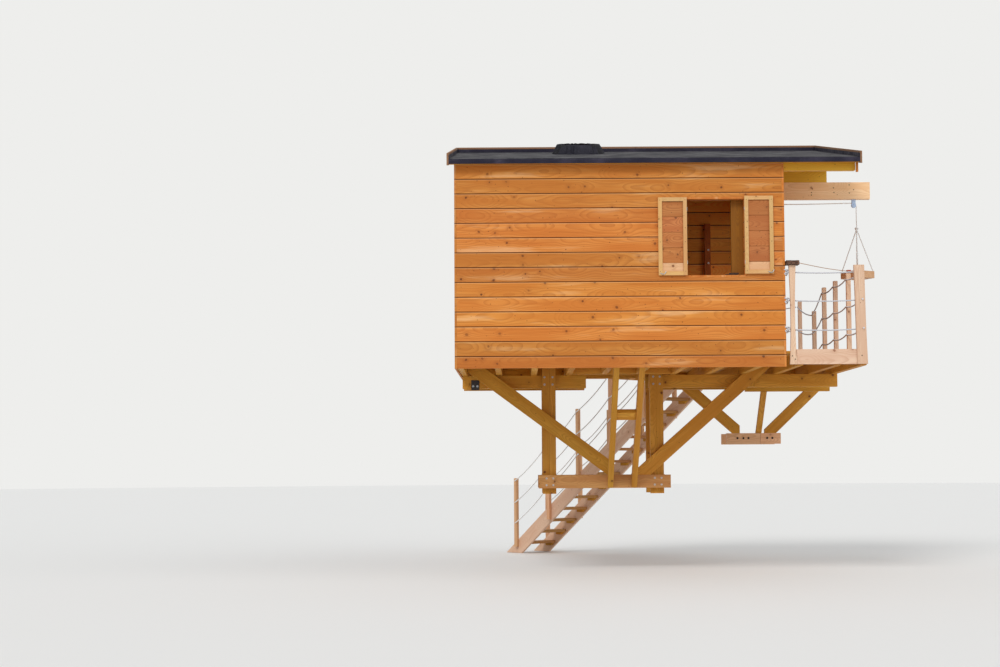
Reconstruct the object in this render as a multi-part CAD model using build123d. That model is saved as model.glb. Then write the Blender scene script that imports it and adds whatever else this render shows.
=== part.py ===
from build123d import *
import os
from math import cos, radians, sin, tan

# A timber tree house: a boarded cabin with a lean-to roof and a roped side deck, on a joist
# platform that hangs on two clamped collar beams, hanger posts and raking braces. A second,
# smaller pair of collars behind carries the rear deck, and an open stair climbs to the deck's
# slanting rear edge. X runs right from the cabin's left face, Y back from its front face, Z up
# from the stair's foot. All sizes are millimetres. The finished pieces are moved so that the
# origin lies on the flat bearing face of the front collar beam.

# Cabin and platform
CABIN_LENGTH = 4000
CABIN_DEPTH = 2600
SIDE_DECK_WIDTH = 970
REAR_DECK_DEPTH = 1550
SLANT_OFFSET = 566
JOIST_UNDERSIDE = 2575
JOIST_DEPTH = 150
JOIST_WIDTH = 75
JOIST_SPACING = 456
SHORTEST_JOIST = 100
RIM_THICKNESS = 45
FLOOR_BOARD = 28
DECK_BOARD_WIDTH = 140
DECK_BOARD_GAP = 6
JOINT_GAP = 2

# Walls
CLADDING = 22
WALL_FRAME = 75
BOARD_PITCH = 179.8
BOARD_GROOVE = 7
CLADDING_DROP = 13
CLADDING_BELOW_ROOF = 40
DECK_CLEARANCE = 5
CORNER_BATTEN = 27

# Window, shutters and doorway
WINDOW_FROM_RIGHT = 487
WINDOW_WIDTH = 696
WINDOW_BELOW_ROOF = 486
WINDOW_HEIGHT = 928
LINING = 25
SHUTTER_WIDTH = 348
SHUTTER_RISE = 12
SHUTTER_HEIGHT = 948
SHUTTER_THICKNESS = 30
SHUTTER_RAIL = 47
SHUTTER_RECESS = 10
STUD_WIDTH = 147
STUD_DEPTH = 45
REAR_STUD_FROM_RIGHT = 580
REAR_STUD_WIDTH = 83
REAR_STUD_TOP = 4700
DOOR_FROM_REAR = 265
DOOR_WIDTH = 750
DOOR_HEIGHT = 1950

# Roof
ROOF_SLOPE = 13.4
ROOF_FRONT_OVERHANG = 120
ROOF_FRONT_HEIGHT = 5090
ROOF_REAR_OVERHANG = 75
ROOF_LEFT_OVERHANG = 85
ROOF_RIGHT_OVERHANG = 930
FELT = 8
FELT_DROP = 63
NOSE_THICKNESS = 40
NOSE_RADIUS = 28
ROOF_BOARD = 28
RAFTER_DEPTH = 120
RAFTER_WIDTH = 45
RAFTER_COUNT = 8
FIRST_RAFTER = 100
PLATE_DEPTH = 135
PLATE_RETURN = 54
KERB_THICKNESS = 25
KERB_RISE = 70
BARGE_BELOW = 80
BOOT_BASE_RADIUS = 364
BOOT_TOP_RADIUS = 287
BOOT_HEIGHT = 125
BOOT_WALL = 8
ROOF_TRUNK_X = 1580
ROOF_TRUNK_FROM_REAR = 750
ROOF_HOLE_RADIUS = 320

# Beams under the roof and the hoist
BEAM_WIDTH = 75
BEAM_FROM_REAR = 1180
MIDDLE_BEAM_BELOW_ROOF = 22
MIDDLE_BEAM_REACH = 817
HOIST_BEAM_DEPTH = 223
HOIST_BEAM_REACH = 1379
HOIST_BEAM_INSIDE = 1100
PULLEY_FROM_END = 209
SHEAVE_RADIUS = 32
SHEAVE_WIDTH = 18
SHEAVE_PLAY = 1
CHEEK = 4
PULLEY_DROP = 114
PULLEY_WIDTH = 50
HOIST_ROPE = 12
KNOT_DROP = 390
KNOT_RADIUS = 17
TRAY_SIDE = 305
TRAY_HEIGHT = 90
TRAY_BOARD = 18
TRAY_UNDERSIDE = 3802
TRAY_TURN = 30
TRAY_STRAND = 8
TAG_LINE = 8

# The main frame's collars, hanger posts and bearers
TRUNK_X = 2140
TRUNK_RADIUS = 360
TRUNK_CLEARANCE = 40
COLLAR_CENTRE = 2180
COLLAR_LEFT = 1024
COLLAR_RIGHT = 2744
COLLAR_DEPTH = 170
COLLAR_UNDERSIDE = 1093
COLLAR_FROM_REAR = 1050
TIMBER = 75
POST_WIDTH = 175
LEFT_POST = 1078
RIGHT_POST = 2488
POST_STUB = 73
HOUSING = 3
HOUSING_CLEARANCE = 0.5
BEARER_DEPTH = 170
BEARER_LEFT = 30
BEARER_GAP = (1656, 2480)
END_BEARER_FROM = 3830
END_BEARER_EXTRA = 34
BOLT = 14
BOLT_CLEARANCE = 0.5
BOLT_HEAD_RADIUS = 14
BOLT_HEAD = 6
BOLT_PROUD = 12
BOLT_ROW = 43.5
NUT_ACROSS = 24
NUT_THICKNESS = 11

# Raking braces
BRACE_WIDTH = 175
LEFT_BRACE_FOOT = 2070
LEFT_BRACE_RUN = 1.344
RIGHT_BRACE_FOOT = 2350
RIGHT_BRACE_RUN = 1.131
BRACE_HEAD_HEIGHT = 2700
LEFT_PACKER = 330
RIGHT_PACKER = 3740
PACKER_WIDTH = 130
TRUNK_BRACE_THICKNESS = 70
TRUNK_BRACE_DEPTH = 120
TRUNK_BRACE_BACK = 24
SPACER_FROM_FRONT = 709
SPACER_WIDTH = 120
PLATE_LEFT = 144
PLATE_WIDTH = 106
PLATE_HEIGHT = 130
PLATE_LOWER = 19
PLATE_THICKNESS = 6

# The second frame's collars and bracing
SECOND_X = 4060
SECOND_FROM_CABIN = 390
SECOND_RADIUS = 215
SECOND_CLEARANCE = 40
SECOND_HEADER_CLEARANCE = 50
SECOND_COLLAR_LEFT = 3638
SECOND_COLLAR_RIGHT = 4387
SECOND_COLLAR_JOINT = 4105
SECOND_COLLAR_UNDERSIDE = 1672
SECOND_COLLAR_DEPTH = 148
SECOND_BEARER_LEFT = 3000
SECOND_BEARER_RIGHT = 5060
SECOND_BEARER_DEPTH = 125
SECOND_BRACE_WIDTH = 150
SECOND_LEFT_HEAD = 3080
SECOND_LEFT_RUN = 1.130
SECOND_LEFT_END = 3885
SECOND_RIGHT_HEAD = 5048
SECOND_RIGHT_RUN = 1.047
SECOND_RIGHT_END = 4235
CENTRE_BRACE_LEFT = 4045
CENTRE_BRACE_DEPTH = 66

# Deck edge, posts and railing ropes
KICK_THICKNESS = 30
KICK_DEPTH = 182
KICK_RISE = 14
RAIL_POST_HEIGHT = 1037
FRONT_POST_THICKNESS = 45
FRONT_POST_FROM_CABIN = 40
FRONT_POST_WIDTH = 83
FRONT_POST_WAIST = 53
CORNER_POST_INSETS = (120, 132, 144, 19, 13, -7)
SIDE_POST = 55
SIDE_POST_INSET = 3
FORWARD_POST_SPOTS = (790, 1565, 2290, 3000)
LAST_POST_FROM_REAR = 90
LOW_POST = 3
LOW_POST_DROP = 250
SLANT_POST_SPOTS = (100, 785, 1470)
REAR_POST_SPOTS = (3665, 4290)
ROPE = 14
ROPE_REST = 0.3
ROPE_RISES = (957, 613, 261)
ROPE_SAG = 38
ROPE_KNOT = 15
CAP_THICKNESS = 55
CAP_LENGTH = 166
CAP_WIDTH = 120

# Stair
STAIR_ANGLE = 45
STAIR_SLOPE = 0.789
STAIR_WIDTH = 667
STAIR_RISERS = 15
STAIR_FOOT = (796, 6000)
STRINGER_HEIGHT = 268
STRINGER_THICKNESS = 45
TREAD_THICKNESS = 40
TREAD_DEPTH = 240
TREAD_INSET = 20
CLEAT_HEIGHT = 45
CLEAT_WIDTH = 40
CLEAT_LENGTH = 190
STAIR_POST = 55
STAIR_POST_SPOTS = (-80, 645, 1275, 1950, 2600, 3250)
STAIR_POST_RISE = 1120
STAIR_POST_DROP = 95
STAIR_POST_LOWEST = 100
STAIR_ROPE_DROPS = (45, 388, 715)
STAIR_ROPE_SAG = 60

# Levels and lines that follow from the driving sizes
DECK_LENGTH = CABIN_LENGTH + SIDE_DECK_WIDTH
DECK_REAR = CABIN_DEPTH + REAR_DECK_DEPTH
WINDOW_LEFT = CABIN_LENGTH - WINDOW_FROM_RIGHT - WINDOW_WIDTH
REAR_STUD_LEFT = CABIN_LENGTH - REAR_STUD_FROM_RIGHT - REAR_STUD_WIDTH
CLADDING_TOP = ROOF_FRONT_HEIGHT - CLADDING_BELOW_ROOF
WINDOW_SILL = ROOF_FRONT_HEIGHT - WINDOW_BELOW_ROOF - WINDOW_HEIGHT
MIDDLE_BEAM_UNDERSIDE = ROOF_FRONT_HEIGHT - MIDDLE_BEAM_BELOW_ROOF
BEAM_FROM_FRONT = CABIN_DEPTH - BEAM_FROM_REAR
DOOR_FROM_FRONT = CABIN_DEPTH - DOOR_FROM_REAR - DOOR_WIDTH
ROOF_TRUNK_Y = CABIN_DEPTH - ROOF_TRUNK_FROM_REAR
COLLAR_FROM_FRONT = CABIN_DEPTH - COLLAR_FROM_REAR
SECOND_Y = CABIN_DEPTH + SECOND_FROM_CABIN
FRONT_POST_LEFT = CABIN_LENGTH + FRONT_POST_FROM_CABIN
CORNER_POST_EDGES = [DECK_LENGTH - inset for inset in CORNER_POST_INSETS]
SIDE_POST_SPOTS = FORWARD_POST_SPOTS + (DECK_REAR - LAST_POST_FROM_REAR,)
DECK_UNDERSIDE = JOIST_UNDERSIDE + JOIST_DEPTH
FLOOR_TOP = DECK_UNDERSIDE + FLOOR_BOARD
WALL = CLADDING + WALL_FRAME
COLLAR_BACK = COLLAR_FROM_FRONT + TIMBER
COLLAR_TOP = COLLAR_UNDERSIDE + COLLAR_DEPTH
TRUNK_Y = COLLAR_BACK + TRUNK_RADIUS
REAR_COLLAR = TRUNK_Y + TRUNK_RADIUS
BEARER_UNDERSIDE = JOIST_UNDERSIDE - BEARER_DEPTH
FRONT_BEARER = COLLAR_BACK + TIMBER
REAR_BEARER = REAR_COLLAR - 2 * TIMBER
CLADDING_BOTTOM = JOIST_UNDERSIDE - CLADDING_DROP
ROOF_LEFT = -ROOF_LEFT_OVERHANG
ROOF_RIGHT = CABIN_LENGTH + ROOF_RIGHT_OVERHANG
ROOF_BACK = CABIN_DEPTH + ROOF_REAR_OVERHANG
ROOF_INNER = (ROOF_LEFT + KERB_THICKNESS, ROOF_RIGHT - KERB_THICKNESS)
PLATE_RIGHT = ROOF_RIGHT - PLATE_RETURN
ROOF_TAN = tan(radians(ROOF_SLOPE))
ROOF_COS = cos(radians(ROOF_SLOPE))
HOIST_UNDERSIDE = MIDDLE_BEAM_UNDERSIDE - HOIST_BEAM_DEPTH
BEAM_MIDDLE = BEAM_FROM_FRONT + BEAM_WIDTH / 2
RAIL_POST_TOP = FLOOR_TOP + RAIL_POST_HEIGHT
DIAGONAL = sin(radians(STAIR_ANGLE))
ORIGIN = (COLLAR_CENTRE, COLLAR_BACK, COLLAR_UNDERSIDE + COLLAR_DEPTH / 2)


def felt_top(y):
    """Height of the roof's weathering face at a distance behind the front wall."""
    return ROOF_FRONT_HEIGHT + ROOF_TAN * (y + ROOF_FRONT_OVERHANG)


def felt_under(y):
    return felt_top(y) - FELT / ROOF_COS


def boards_under(y):
    return felt_under(y) - ROOF_BOARD / ROOF_COS


def rafters_under(y):
    return boards_under(y) - RAFTER_DEPTH / ROOF_COS


def block(x, y, z):
    """A squared timber between three pairs of faces."""
    size = Box(x[1] - x[0], y[1] - y[0], z[1] - z[0])
    return Pos(sum(x) / 2, sum(y) / 2, sum(z) / 2) * size


def prism_x(outline, x):
    """A piece with its outline in Y and Z, running from x[0] to x[1]."""
    face = make_face(Polyline(*[(x[0], y, z) for y, z in outline], close=True))
    return extrude(face, amount=x[1] - x[0], dir=(1, 0, 0))


def prism_y(outline, y):
    """A piece with its outline in X and Z, running from y[0] to y[1]."""
    face = make_face(Polyline(*[(x, y[0], z) for x, z in outline], close=True))
    return extrude(face, amount=y[1] - y[0], dir=(0, 1, 0))


def prism_z(outline, z):
    """A piece with its outline in X and Y, running from z[0] to z[1]."""
    face = make_face(Polyline(*[(x, y, z[0]) for x, y in outline], close=True))
    return extrude(face, amount=z[1] - z[0], dir=(0, 0, 1))


def slope_piece(x, y, under, over):
    """A piece between two sloping planes of the roof."""
    return prism_x([(y[0], under(y[0])), (y[1], under(y[1])), (y[1], over(y[1])),
                    (y[0], over(y[0]))], x)


def upright(x, y, z, radius):
    """A vertical cylinder between two heights."""
    return Pos(x, y, sum(z) / 2) * Cylinder(radius, z[1] - z[0])


def rope(points, diameter):
    """A rope through a few points: straight runs joined by the widest arcs that fit."""
    spots = [Vector(*p) for p in points]
    if len(spots) == 2:
        path = Line(spots[0], spots[1])
    else:
        radii = []
        for before, here, after in zip(spots, spots[1:], spots[2:]):
            turn = (here - before).get_angle(after - here)
            shorter = min((here - before).length, (after - here).length)
            radii.append(0.45 * shorter / tan(radians(turn / 2)))
        path = FilletPolyline(*spots, radius=radii)
    start = Plane(origin=path @ 0, z_dir=path % 0)
    return sweep(start * Circle(diameter / 2), path=path)


def sagging(posts, sag):
    """Points of a rope that is held at each post and sags a little between them."""
    points = [posts[0]]
    for here, after in zip(posts, posts[1:]):
        middle = [(a + b) / 2 for a, b in zip(here, after)]
        points.append((middle[0], middle[1], middle[2] - sag))
        points.append(after)
    return points


def save(name, *pieces):
    """Write one node, moved so that the origin is on the front collar's bearing face."""
    solids = [solid for piece in pieces for solid in piece.solids()]
    shift = Location((-ORIGIN[0], -ORIGIN[1], -ORIGIN[2]))
    node = solids[0] if len(solids) == 1 else Compound(solids)
    export_step(node.moved(shift), f"parts/{name}.step")


def joist_lines():
    """Left faces of the joists: a regular grid, and one more at the deck's edge."""
    last = DECK_LENGTH - JOIST_WIDTH
    lines = []
    x = CLADDING
    while x + JOIST_WIDTH < last:
        lines.append(x)
        x += JOIST_SPACING
    return lines + [last]


def joist_end(x):
    """Inner face of the rim behind the deck, at a distance from the cabin's left face."""
    return min(x + SLANT_OFFSET - RIM_THICKNESS / DIAGONAL, DECK_REAR - RIM_THICKNESS)


def trunk_holes():
    """For each round opening: its span in X and the Y bands of the headers before and behind."""
    reach = TRUNK_RADIUS + TRUNK_CLEARANCE
    rear = REAR_COLLAR + TIMBER
    first = ((TRUNK_X - reach, TRUNK_X + reach), (COLLAR_FROM_FRONT - TIMBER, COLLAR_FROM_FRONT),
             (rear, rear + TIMBER))
    reach = SECOND_RADIUS + SECOND_HEADER_CLEARANCE
    second = ((SECOND_X - reach, SECOND_X + reach),
              (SECOND_Y - reach - TIMBER, SECOND_Y - reach),
              (SECOND_Y + reach, SECOND_Y + reach + TIMBER))
    return first, second


def joists():
    height = (JOIST_UNDERSIDE, DECK_UNDERSIDE)
    pieces = []
    for left in joist_lines():
        right = left + JOIST_WIDTH
        ends = (joist_end(left), joist_end(right))
        if right + SLANT_OFFSET < CABIN_DEPTH:
            ends = (CABIN_DEPTH - CLADDING - RIM_THICKNESS,) * 2
        front = CLADDING
        for hole, near, far in trunk_holes():
            if right > hole[0] and left < hole[1]:
                pieces.append(block((left, right), (front, near[0]), height))
                front = far[1]
        if ends[0] - front > SHORTEST_JOIST:
            pieces.append(prism_z([(left, front), (right, front), (right, ends[1]), (left, ends[0])],
                                  height))
    return pieces


def headers():
    height = (JOIST_UNDERSIDE, DECK_UNDERSIDE)
    pieces = []
    for hole, near, far in trunk_holes():
        left = max(x + JOIST_WIDTH for x in joist_lines() if x + JOIST_WIDTH <= hole[0])
        right = min(x for x in joist_lines() if x >= hole[1])
        pieces.append(block((left, right), near, height))
        pieces.append(block((left, right), far, height))
    return pieces


def rims():
    """Edge boards behind the platform: under the rear wall, on the slant and at the back."""
    height = (JOIST_UNDERSIDE, DECK_UNDERSIDE)
    wall_face = CABIN_DEPTH - CLADDING
    inner = SLANT_OFFSET - RIM_THICKNESS / DIAGONAL
    wall_rim = block((CLADDING, wall_face - SLANT_OFFSET - RIM_THICKNESS),
                     (wall_face - RIM_THICKNESS, wall_face), height)
    slant_rim = prism_z([(wall_face - SLANT_OFFSET, wall_face), (wall_face - inner, wall_face),
                         (DECK_REAR - inner, DECK_REAR), (DECK_REAR - SLANT_OFFSET, DECK_REAR)], height)
    near = DECK_REAR - RIM_THICKNESS
    start = JOINT_GAP - inner
    rear_rim = prism_z([(near + start, near), (DECK_LENGTH, near), (DECK_LENGTH, DECK_REAR),
                        (DECK_REAR + start, DECK_REAR)], height)
    return [wall_rim, slant_rim, rear_rim]


def deck_boards(x, y):
    """Boards across a deck, in a whole number of equal widths."""
    count = round((y[1] - y[0] + DECK_BOARD_GAP) / (DECK_BOARD_WIDTH + DECK_BOARD_GAP))
    pitch = (y[1] - y[0] + DECK_BOARD_GAP) / count
    height = (DECK_UNDERSIDE, FLOOR_TOP)
    return [block(x, (y[0] + i * pitch, y[0] + (i + 1) * pitch - DECK_BOARD_GAP), height)
            for i in range(count)]


def rear_deck():
    front = CABIN_DEPTH + DECK_BOARD_GAP
    outline = [(front - SLANT_OFFSET, front), (DECK_LENGTH, front), (DECK_LENGTH, DECK_REAR),
               (DECK_REAR - SLANT_OFFSET, DECK_REAR)]
    shape = prism_z(outline, (DECK_UNDERSIDE, FLOOR_TOP))
    hole = upright(SECOND_X, SECOND_Y, (DECK_UNDERSIDE, FLOOR_TOP), SECOND_RADIUS + SECOND_CLEARANCE)
    boards = deck_boards((front - SLANT_OFFSET, DECK_LENGTH), (front, DECK_REAR))
    return [(board & shape) - hole for board in boards]


def make_platform():
    save("deck_joists", *joists())
    save("joist_headers", *headers())
    save("deck_rims", *rims())
    floor = block((CLADDING, CABIN_LENGTH - CLADDING), (CLADDING, CABIN_DEPTH - CLADDING),
                  (DECK_UNDERSIDE, FLOOR_TOP))
    hole = upright(TRUNK_X, TRUNK_Y, (DECK_UNDERSIDE, FLOOR_TOP), TRUNK_RADIUS + TRUNK_CLEARANCE)
    save("cabin_floor", floor - hole)
    side = (CABIN_LENGTH + JOINT_GAP, DECK_LENGTH)
    save("side_deck_boards", *deck_boards(side, (CLADDING, CABIN_DEPTH)))
    save("rear_deck_boards", *rear_deck())


def groove_profile(bottom, top):
    """Depth and height of a boarded face: a shallow vee between one board and the next."""
    points = [(0, bottom)]
    joint = CLADDING_BOTTOM + BOARD_PITCH * 0.8
    while joint < top - BOARD_GROOVE:
        if joint > bottom + BOARD_GROOVE:
            points += [(0, joint - BOARD_GROOVE / 2), (BOARD_GROOVE, joint),
                       (0, joint + BOARD_GROOVE / 2)]
        joint += BOARD_PITCH
    return points + [(0, top), (CLADDING, top), (CLADDING, bottom)]


def window_rough():
    return ((WINDOW_LEFT - LINING, WINDOW_LEFT + WINDOW_WIDTH + LINING),
            (WINDOW_SILL - LINING, WINDOW_SILL + WINDOW_HEIGHT + LINING))


def door_rough():
    return ((DOOR_FROM_FRONT, DOOR_FROM_FRONT + DOOR_WIDTH), (FLOOR_TOP, FLOOR_TOP + DOOR_HEIGHT))


def side_frame(x, y, bottom):
    """A length of side wall that follows the roof slope."""
    return prism_x([(y[0], bottom), (y[1], bottom), (y[1], boards_under(y[1])),
                    (y[0], boards_under(y[0]))], x)


def plate_block(x):
    top = boards_under(CLADDING)
    return block(x, (CLADDING, WALL), (top - PLATE_DEPTH, top))


def beam_blocks():
    """The middle beam, cut to the rafters' slope on top, and the hoist beam under it."""
    y = (BEAM_FROM_FRONT, BEAM_FROM_FRONT + BEAM_WIDTH)
    middle = prism_x([(y[0], MIDDLE_BEAM_UNDERSIDE), (y[1], MIDDLE_BEAM_UNDERSIDE),
                      (y[1], rafters_under(y[1])), (y[0], rafters_under(y[0]))],
                     (CLADDING, CABIN_LENGTH + MIDDLE_BEAM_REACH))
    hoist = block((CABIN_LENGTH - HOIST_BEAM_INSIDE, CABIN_LENGTH + HOIST_BEAM_REACH), y,
                  (HOIST_UNDERSIDE, MIDDLE_BEAM_UNDERSIDE))
    return middle, hoist


def make_walls():
    inner_left = (CLADDING, WALL)
    inner_right = (CABIN_LENGTH - WALL, CABIN_LENGTH - CLADDING)
    between = (WALL, CABIN_DEPTH - WALL)
    plate_under = boards_under(CLADDING) - PLATE_DEPTH
    window_x, window_z = window_rough()
    door_y, door_z = door_rough()
    through_front = block(window_x, (-SHUTTER_THICKNESS, WALL), window_z)
    middle_beam, hoist_beam = beam_blocks()

    front = block((CLADDING, CABIN_LENGTH - CLADDING), inner_left, (FLOOR_TOP, plate_under))
    save("front_wall", front - through_front)
    save("rear_wall", slope_piece((CLADDING, CABIN_LENGTH - CLADDING),
                                  (CABIN_DEPTH - WALL, CABIN_DEPTH - CLADDING),
                                  lambda y: FLOOR_TOP, rafters_under))
    save("left_wall", side_frame(inner_left, between, FLOOR_TOP) - middle_beam)
    save("right_wall_front", side_frame(inner_right, (WALL, door_y[0]), FLOOR_TOP)
         - middle_beam - hoist_beam)
    save("right_wall_rear", side_frame(inner_right, (door_y[1], between[1]), FLOOR_TOP))
    save("door_lintel", side_frame(inner_right, door_y, door_z[1]))

    skirt = groove_profile(CLADDING_BOTTOM, CLADDING_TOP)
    face = prism_x(skirt, (CORNER_BATTEN, CABIN_LENGTH - CORNER_BATTEN)) - through_front
    low = FLOOR_TOP + DECK_CLEARANCE
    rear_top = rafters_under(CABIN_DEPTH - CLADDING) - JOINT_GAP
    rear = [(CABIN_DEPTH - depth, z) for depth, z in groove_profile(low, rear_top)]
    back = prism_x(rear, (CORNER_BATTEN, CABIN_LENGTH - CORNER_BATTEN))
    side = (CLADDING, CABIN_DEPTH - CLADDING)
    high = boards_under(side[1]) + WALL
    left = prism_y(groove_profile(CLADDING_BOTTOM, high), side)
    right = prism_y([(CABIN_LENGTH - depth, z) for depth, z in groove_profile(low, high)], side)
    left &= slope_piece((-WALL, WALL), side, lambda y: 0, boards_under)
    right &= slope_piece((CABIN_LENGTH - WALL, CABIN_LENGTH + WALL), side, lambda y: 0, boards_under)
    doorway = block((CABIN_LENGTH - CLADDING, CABIN_LENGTH), door_y, (low, door_z[1]))
    right = right - doorway - middle_beam - hoist_beam - plate_block((CLADDING, PLATE_RIGHT))
    save("wall_boarding", face, back, left, right)

    battens = []
    for x in ((0, CORNER_BATTEN), (CABIN_LENGTH - CORNER_BATTEN, CABIN_LENGTH)):
        battens.append(block(x, (0, CLADDING), (CLADDING_BOTTOM, CLADDING_TOP)))
        battens.append(block(x, (CABIN_DEPTH - CLADDING, CABIN_DEPTH), (low, rear_top)))
    save("corner_battens", *battens)


def make_openings():
    window_x, window_z = window_rough()
    clear = block((WINDOW_LEFT, WINDOW_LEFT + WINDOW_WIDTH), (0, WALL),
                  (WINDOW_SILL, WINDOW_SILL + WINDOW_HEIGHT))
    save("window_lining", block(window_x, (0, WALL), window_z) - clear)
    stud_right = WINDOW_LEFT + WINDOW_WIDTH
    window_stud = block((stud_right - STUD_WIDTH, stud_right), (WALL, WALL + STUD_DEPTH),
                        (FLOOR_TOP, boards_under(CLADDING) - PLATE_DEPTH))
    rear_stud = block((REAR_STUD_LEFT, REAR_STUD_LEFT + REAR_STUD_WIDTH),
                      (CABIN_DEPTH - WALL - STUD_DEPTH, CABIN_DEPTH - WALL),
                      (FLOOR_TOP, REAR_STUD_TOP))
    save("wall_studs", window_stud, rear_stud)
    bottom = WINDOW_SILL + SHUTTER_RISE
    leaves = []
    for left in (WINDOW_LEFT - SHUTTER_WIDTH, WINDOW_LEFT + WINDOW_WIDTH):
        leaf = block((left, left + SHUTTER_WIDTH), (-SHUTTER_THICKNESS, 0),
                     (bottom, bottom + SHUTTER_HEIGHT))
        pocket = block((left + SHUTTER_RAIL, left + SHUTTER_WIDTH - SHUTTER_RAIL),
                       (-SHUTTER_THICKNESS, SHUTTER_RECESS - SHUTTER_THICKNESS),
                       (bottom + SHUTTER_RAIL, bottom + SHUTTER_HEIGHT - SHUTTER_RAIL))
        leaves.append(leaf - pocket)
    save("window_shutters", *leaves)
    door_y, door_z = door_rough()
    depth = (CABIN_LENGTH - WALL, CABIN_LENGTH)
    low = FLOOR_TOP + DECK_CLEARANCE
    outer = block(depth, door_y, (low, door_z[1]))
    inner = block(depth, (door_y[0] + LINING, door_y[1] - LINING), (low, door_z[1] - LINING))
    save("door_lining", outer - inner)


def rafter_lines():
    last = PLATE_RIGHT - RAFTER_WIDTH
    pitch = (last - FIRST_RAFTER) / (RAFTER_COUNT - 1)
    return [FIRST_RAFTER + i * pitch for i in range(RAFTER_COUNT)]


def make_roof():
    hole = (ROOF_TRUNK_X - ROOF_HOLE_RADIUS, ROOF_TRUNK_X + ROOF_HOLE_RADIUS)
    near = (ROOF_TRUNK_Y - ROOF_HOLE_RADIUS - RAFTER_WIDTH, ROOF_TRUNK_Y - ROOF_HOLE_RADIUS)
    far = (ROOF_TRUNK_Y + ROOF_HOLE_RADIUS, ROOF_TRUNK_Y + ROOF_HOLE_RADIUS + RAFTER_WIDTH)
    run = (WALL, ROOF_BACK - KERB_THICKNESS)
    rafters = []
    for x in rafter_lines():
        width = (x, x + RAFTER_WIDTH)
        if width[1] > hole[0] and width[0] < hole[1]:
            rafters.append(slope_piece(width, (run[0], near[0]), rafters_under, boards_under))
            rafters.append(slope_piece(width, (far[1], run[1]), rafters_under, boards_under))
        else:
            rafters.append(slope_piece(width, run, rafters_under, boards_under))
    save("rafters", *rafters)
    left = max(x + RAFTER_WIDTH for x in rafter_lines() if x + RAFTER_WIDTH <= hole[0])
    right = min(x for x in rafter_lines() if x >= hole[1])
    save("rafter_headers", slope_piece((left, right), near, rafters_under, boards_under),
         slope_piece((left, right), far, rafters_under, boards_under))

    front = -ROOF_FRONT_OVERHANG
    inner_front = front + FELT
    nose_back = inner_front + NOSE_THICKNESS
    nose_bottom = ROOF_FRONT_HEIGHT - FELT_DROP
    shaft = upright(ROOF_TRUNK_X, ROOF_TRUNK_Y, (ROOF_FRONT_HEIGHT / 2, ROOF_FRONT_HEIGHT * 2),
                    ROOF_HOLE_RADIUS)
    boards = slope_piece(ROOF_INNER, (nose_back, run[1]), boards_under, felt_under)
    save("roof_boards", boards - shaft)
    nose = prism_x([(inner_front, nose_bottom), (nose_back, nose_bottom),
                    (nose_back, felt_under(nose_back)), (inner_front, felt_under(inner_front))],
                   ROOF_INNER)
    felt = prism_x([(front, nose_bottom), (inner_front, nose_bottom),
                    (inner_front, felt_under(inner_front)), (run[1], felt_under(run[1])),
                    (run[1], felt_top(run[1])), (front, felt_top(front))], ROOF_INNER)
    centre = sum(ROOF_INNER) / 2
    inner_corner = Vector(centre, inner_front, felt_under(inner_front))
    outer_corner = Vector(centre, front, felt_top(front))
    nose = fillet(nose.edges().filter_by(Axis.X).sort_by_distance(inner_corner)[0], NOSE_RADIUS - FELT)
    felt = fillet(felt.edges().filter_by(Axis.X).sort_by_distance(inner_corner)[0], NOSE_RADIUS - FELT)
    felt = fillet(felt.edges().filter_by(Axis.X).sort_by_distance(outer_corner)[0], NOSE_RADIUS)
    save("roof_nosing", nose)
    save("roof_felt", felt - shaft)

    skirt = Cone(BOOT_BASE_RADIUS, BOOT_TOP_RADIUS, BOOT_HEIGHT)
    inside = Cone(BOOT_BASE_RADIUS - BOOT_WALL, BOOT_TOP_RADIUS - BOOT_WALL, BOOT_HEIGHT)
    place = Location((ROOF_TRUNK_X, ROOF_TRUNK_Y, felt_top(ROOF_TRUNK_Y)), (ROOF_SLOPE, 0, 0))
    save("trunk_boot", place * Pos(0, 0, BOOT_HEIGHT / 2) * (skirt - inside))

    def kerb_top(y):
        return felt_top(y) + KERB_RISE

    def barge_under(y):
        return felt_top(y) - BARGE_BELOW

    save("rear_kerb", slope_piece(ROOF_INNER, (run[1], ROOF_BACK), rafters_under, kerb_top))
    save("barge_boards",
         slope_piece((ROOF_LEFT, ROOF_INNER[0]), (front, ROOF_BACK), barge_under, kerb_top),
         slope_piece((ROOF_INNER[1], ROOF_RIGHT), (front, ROOF_BACK), barge_under, kerb_top))
    save("front_plate", plate_block((CLADDING, PLATE_RIGHT)))
    middle_beam, hoist_beam = beam_blocks()
    save("middle_beam", middle_beam)
    save("hoist_beam", hoist_beam)


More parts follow.
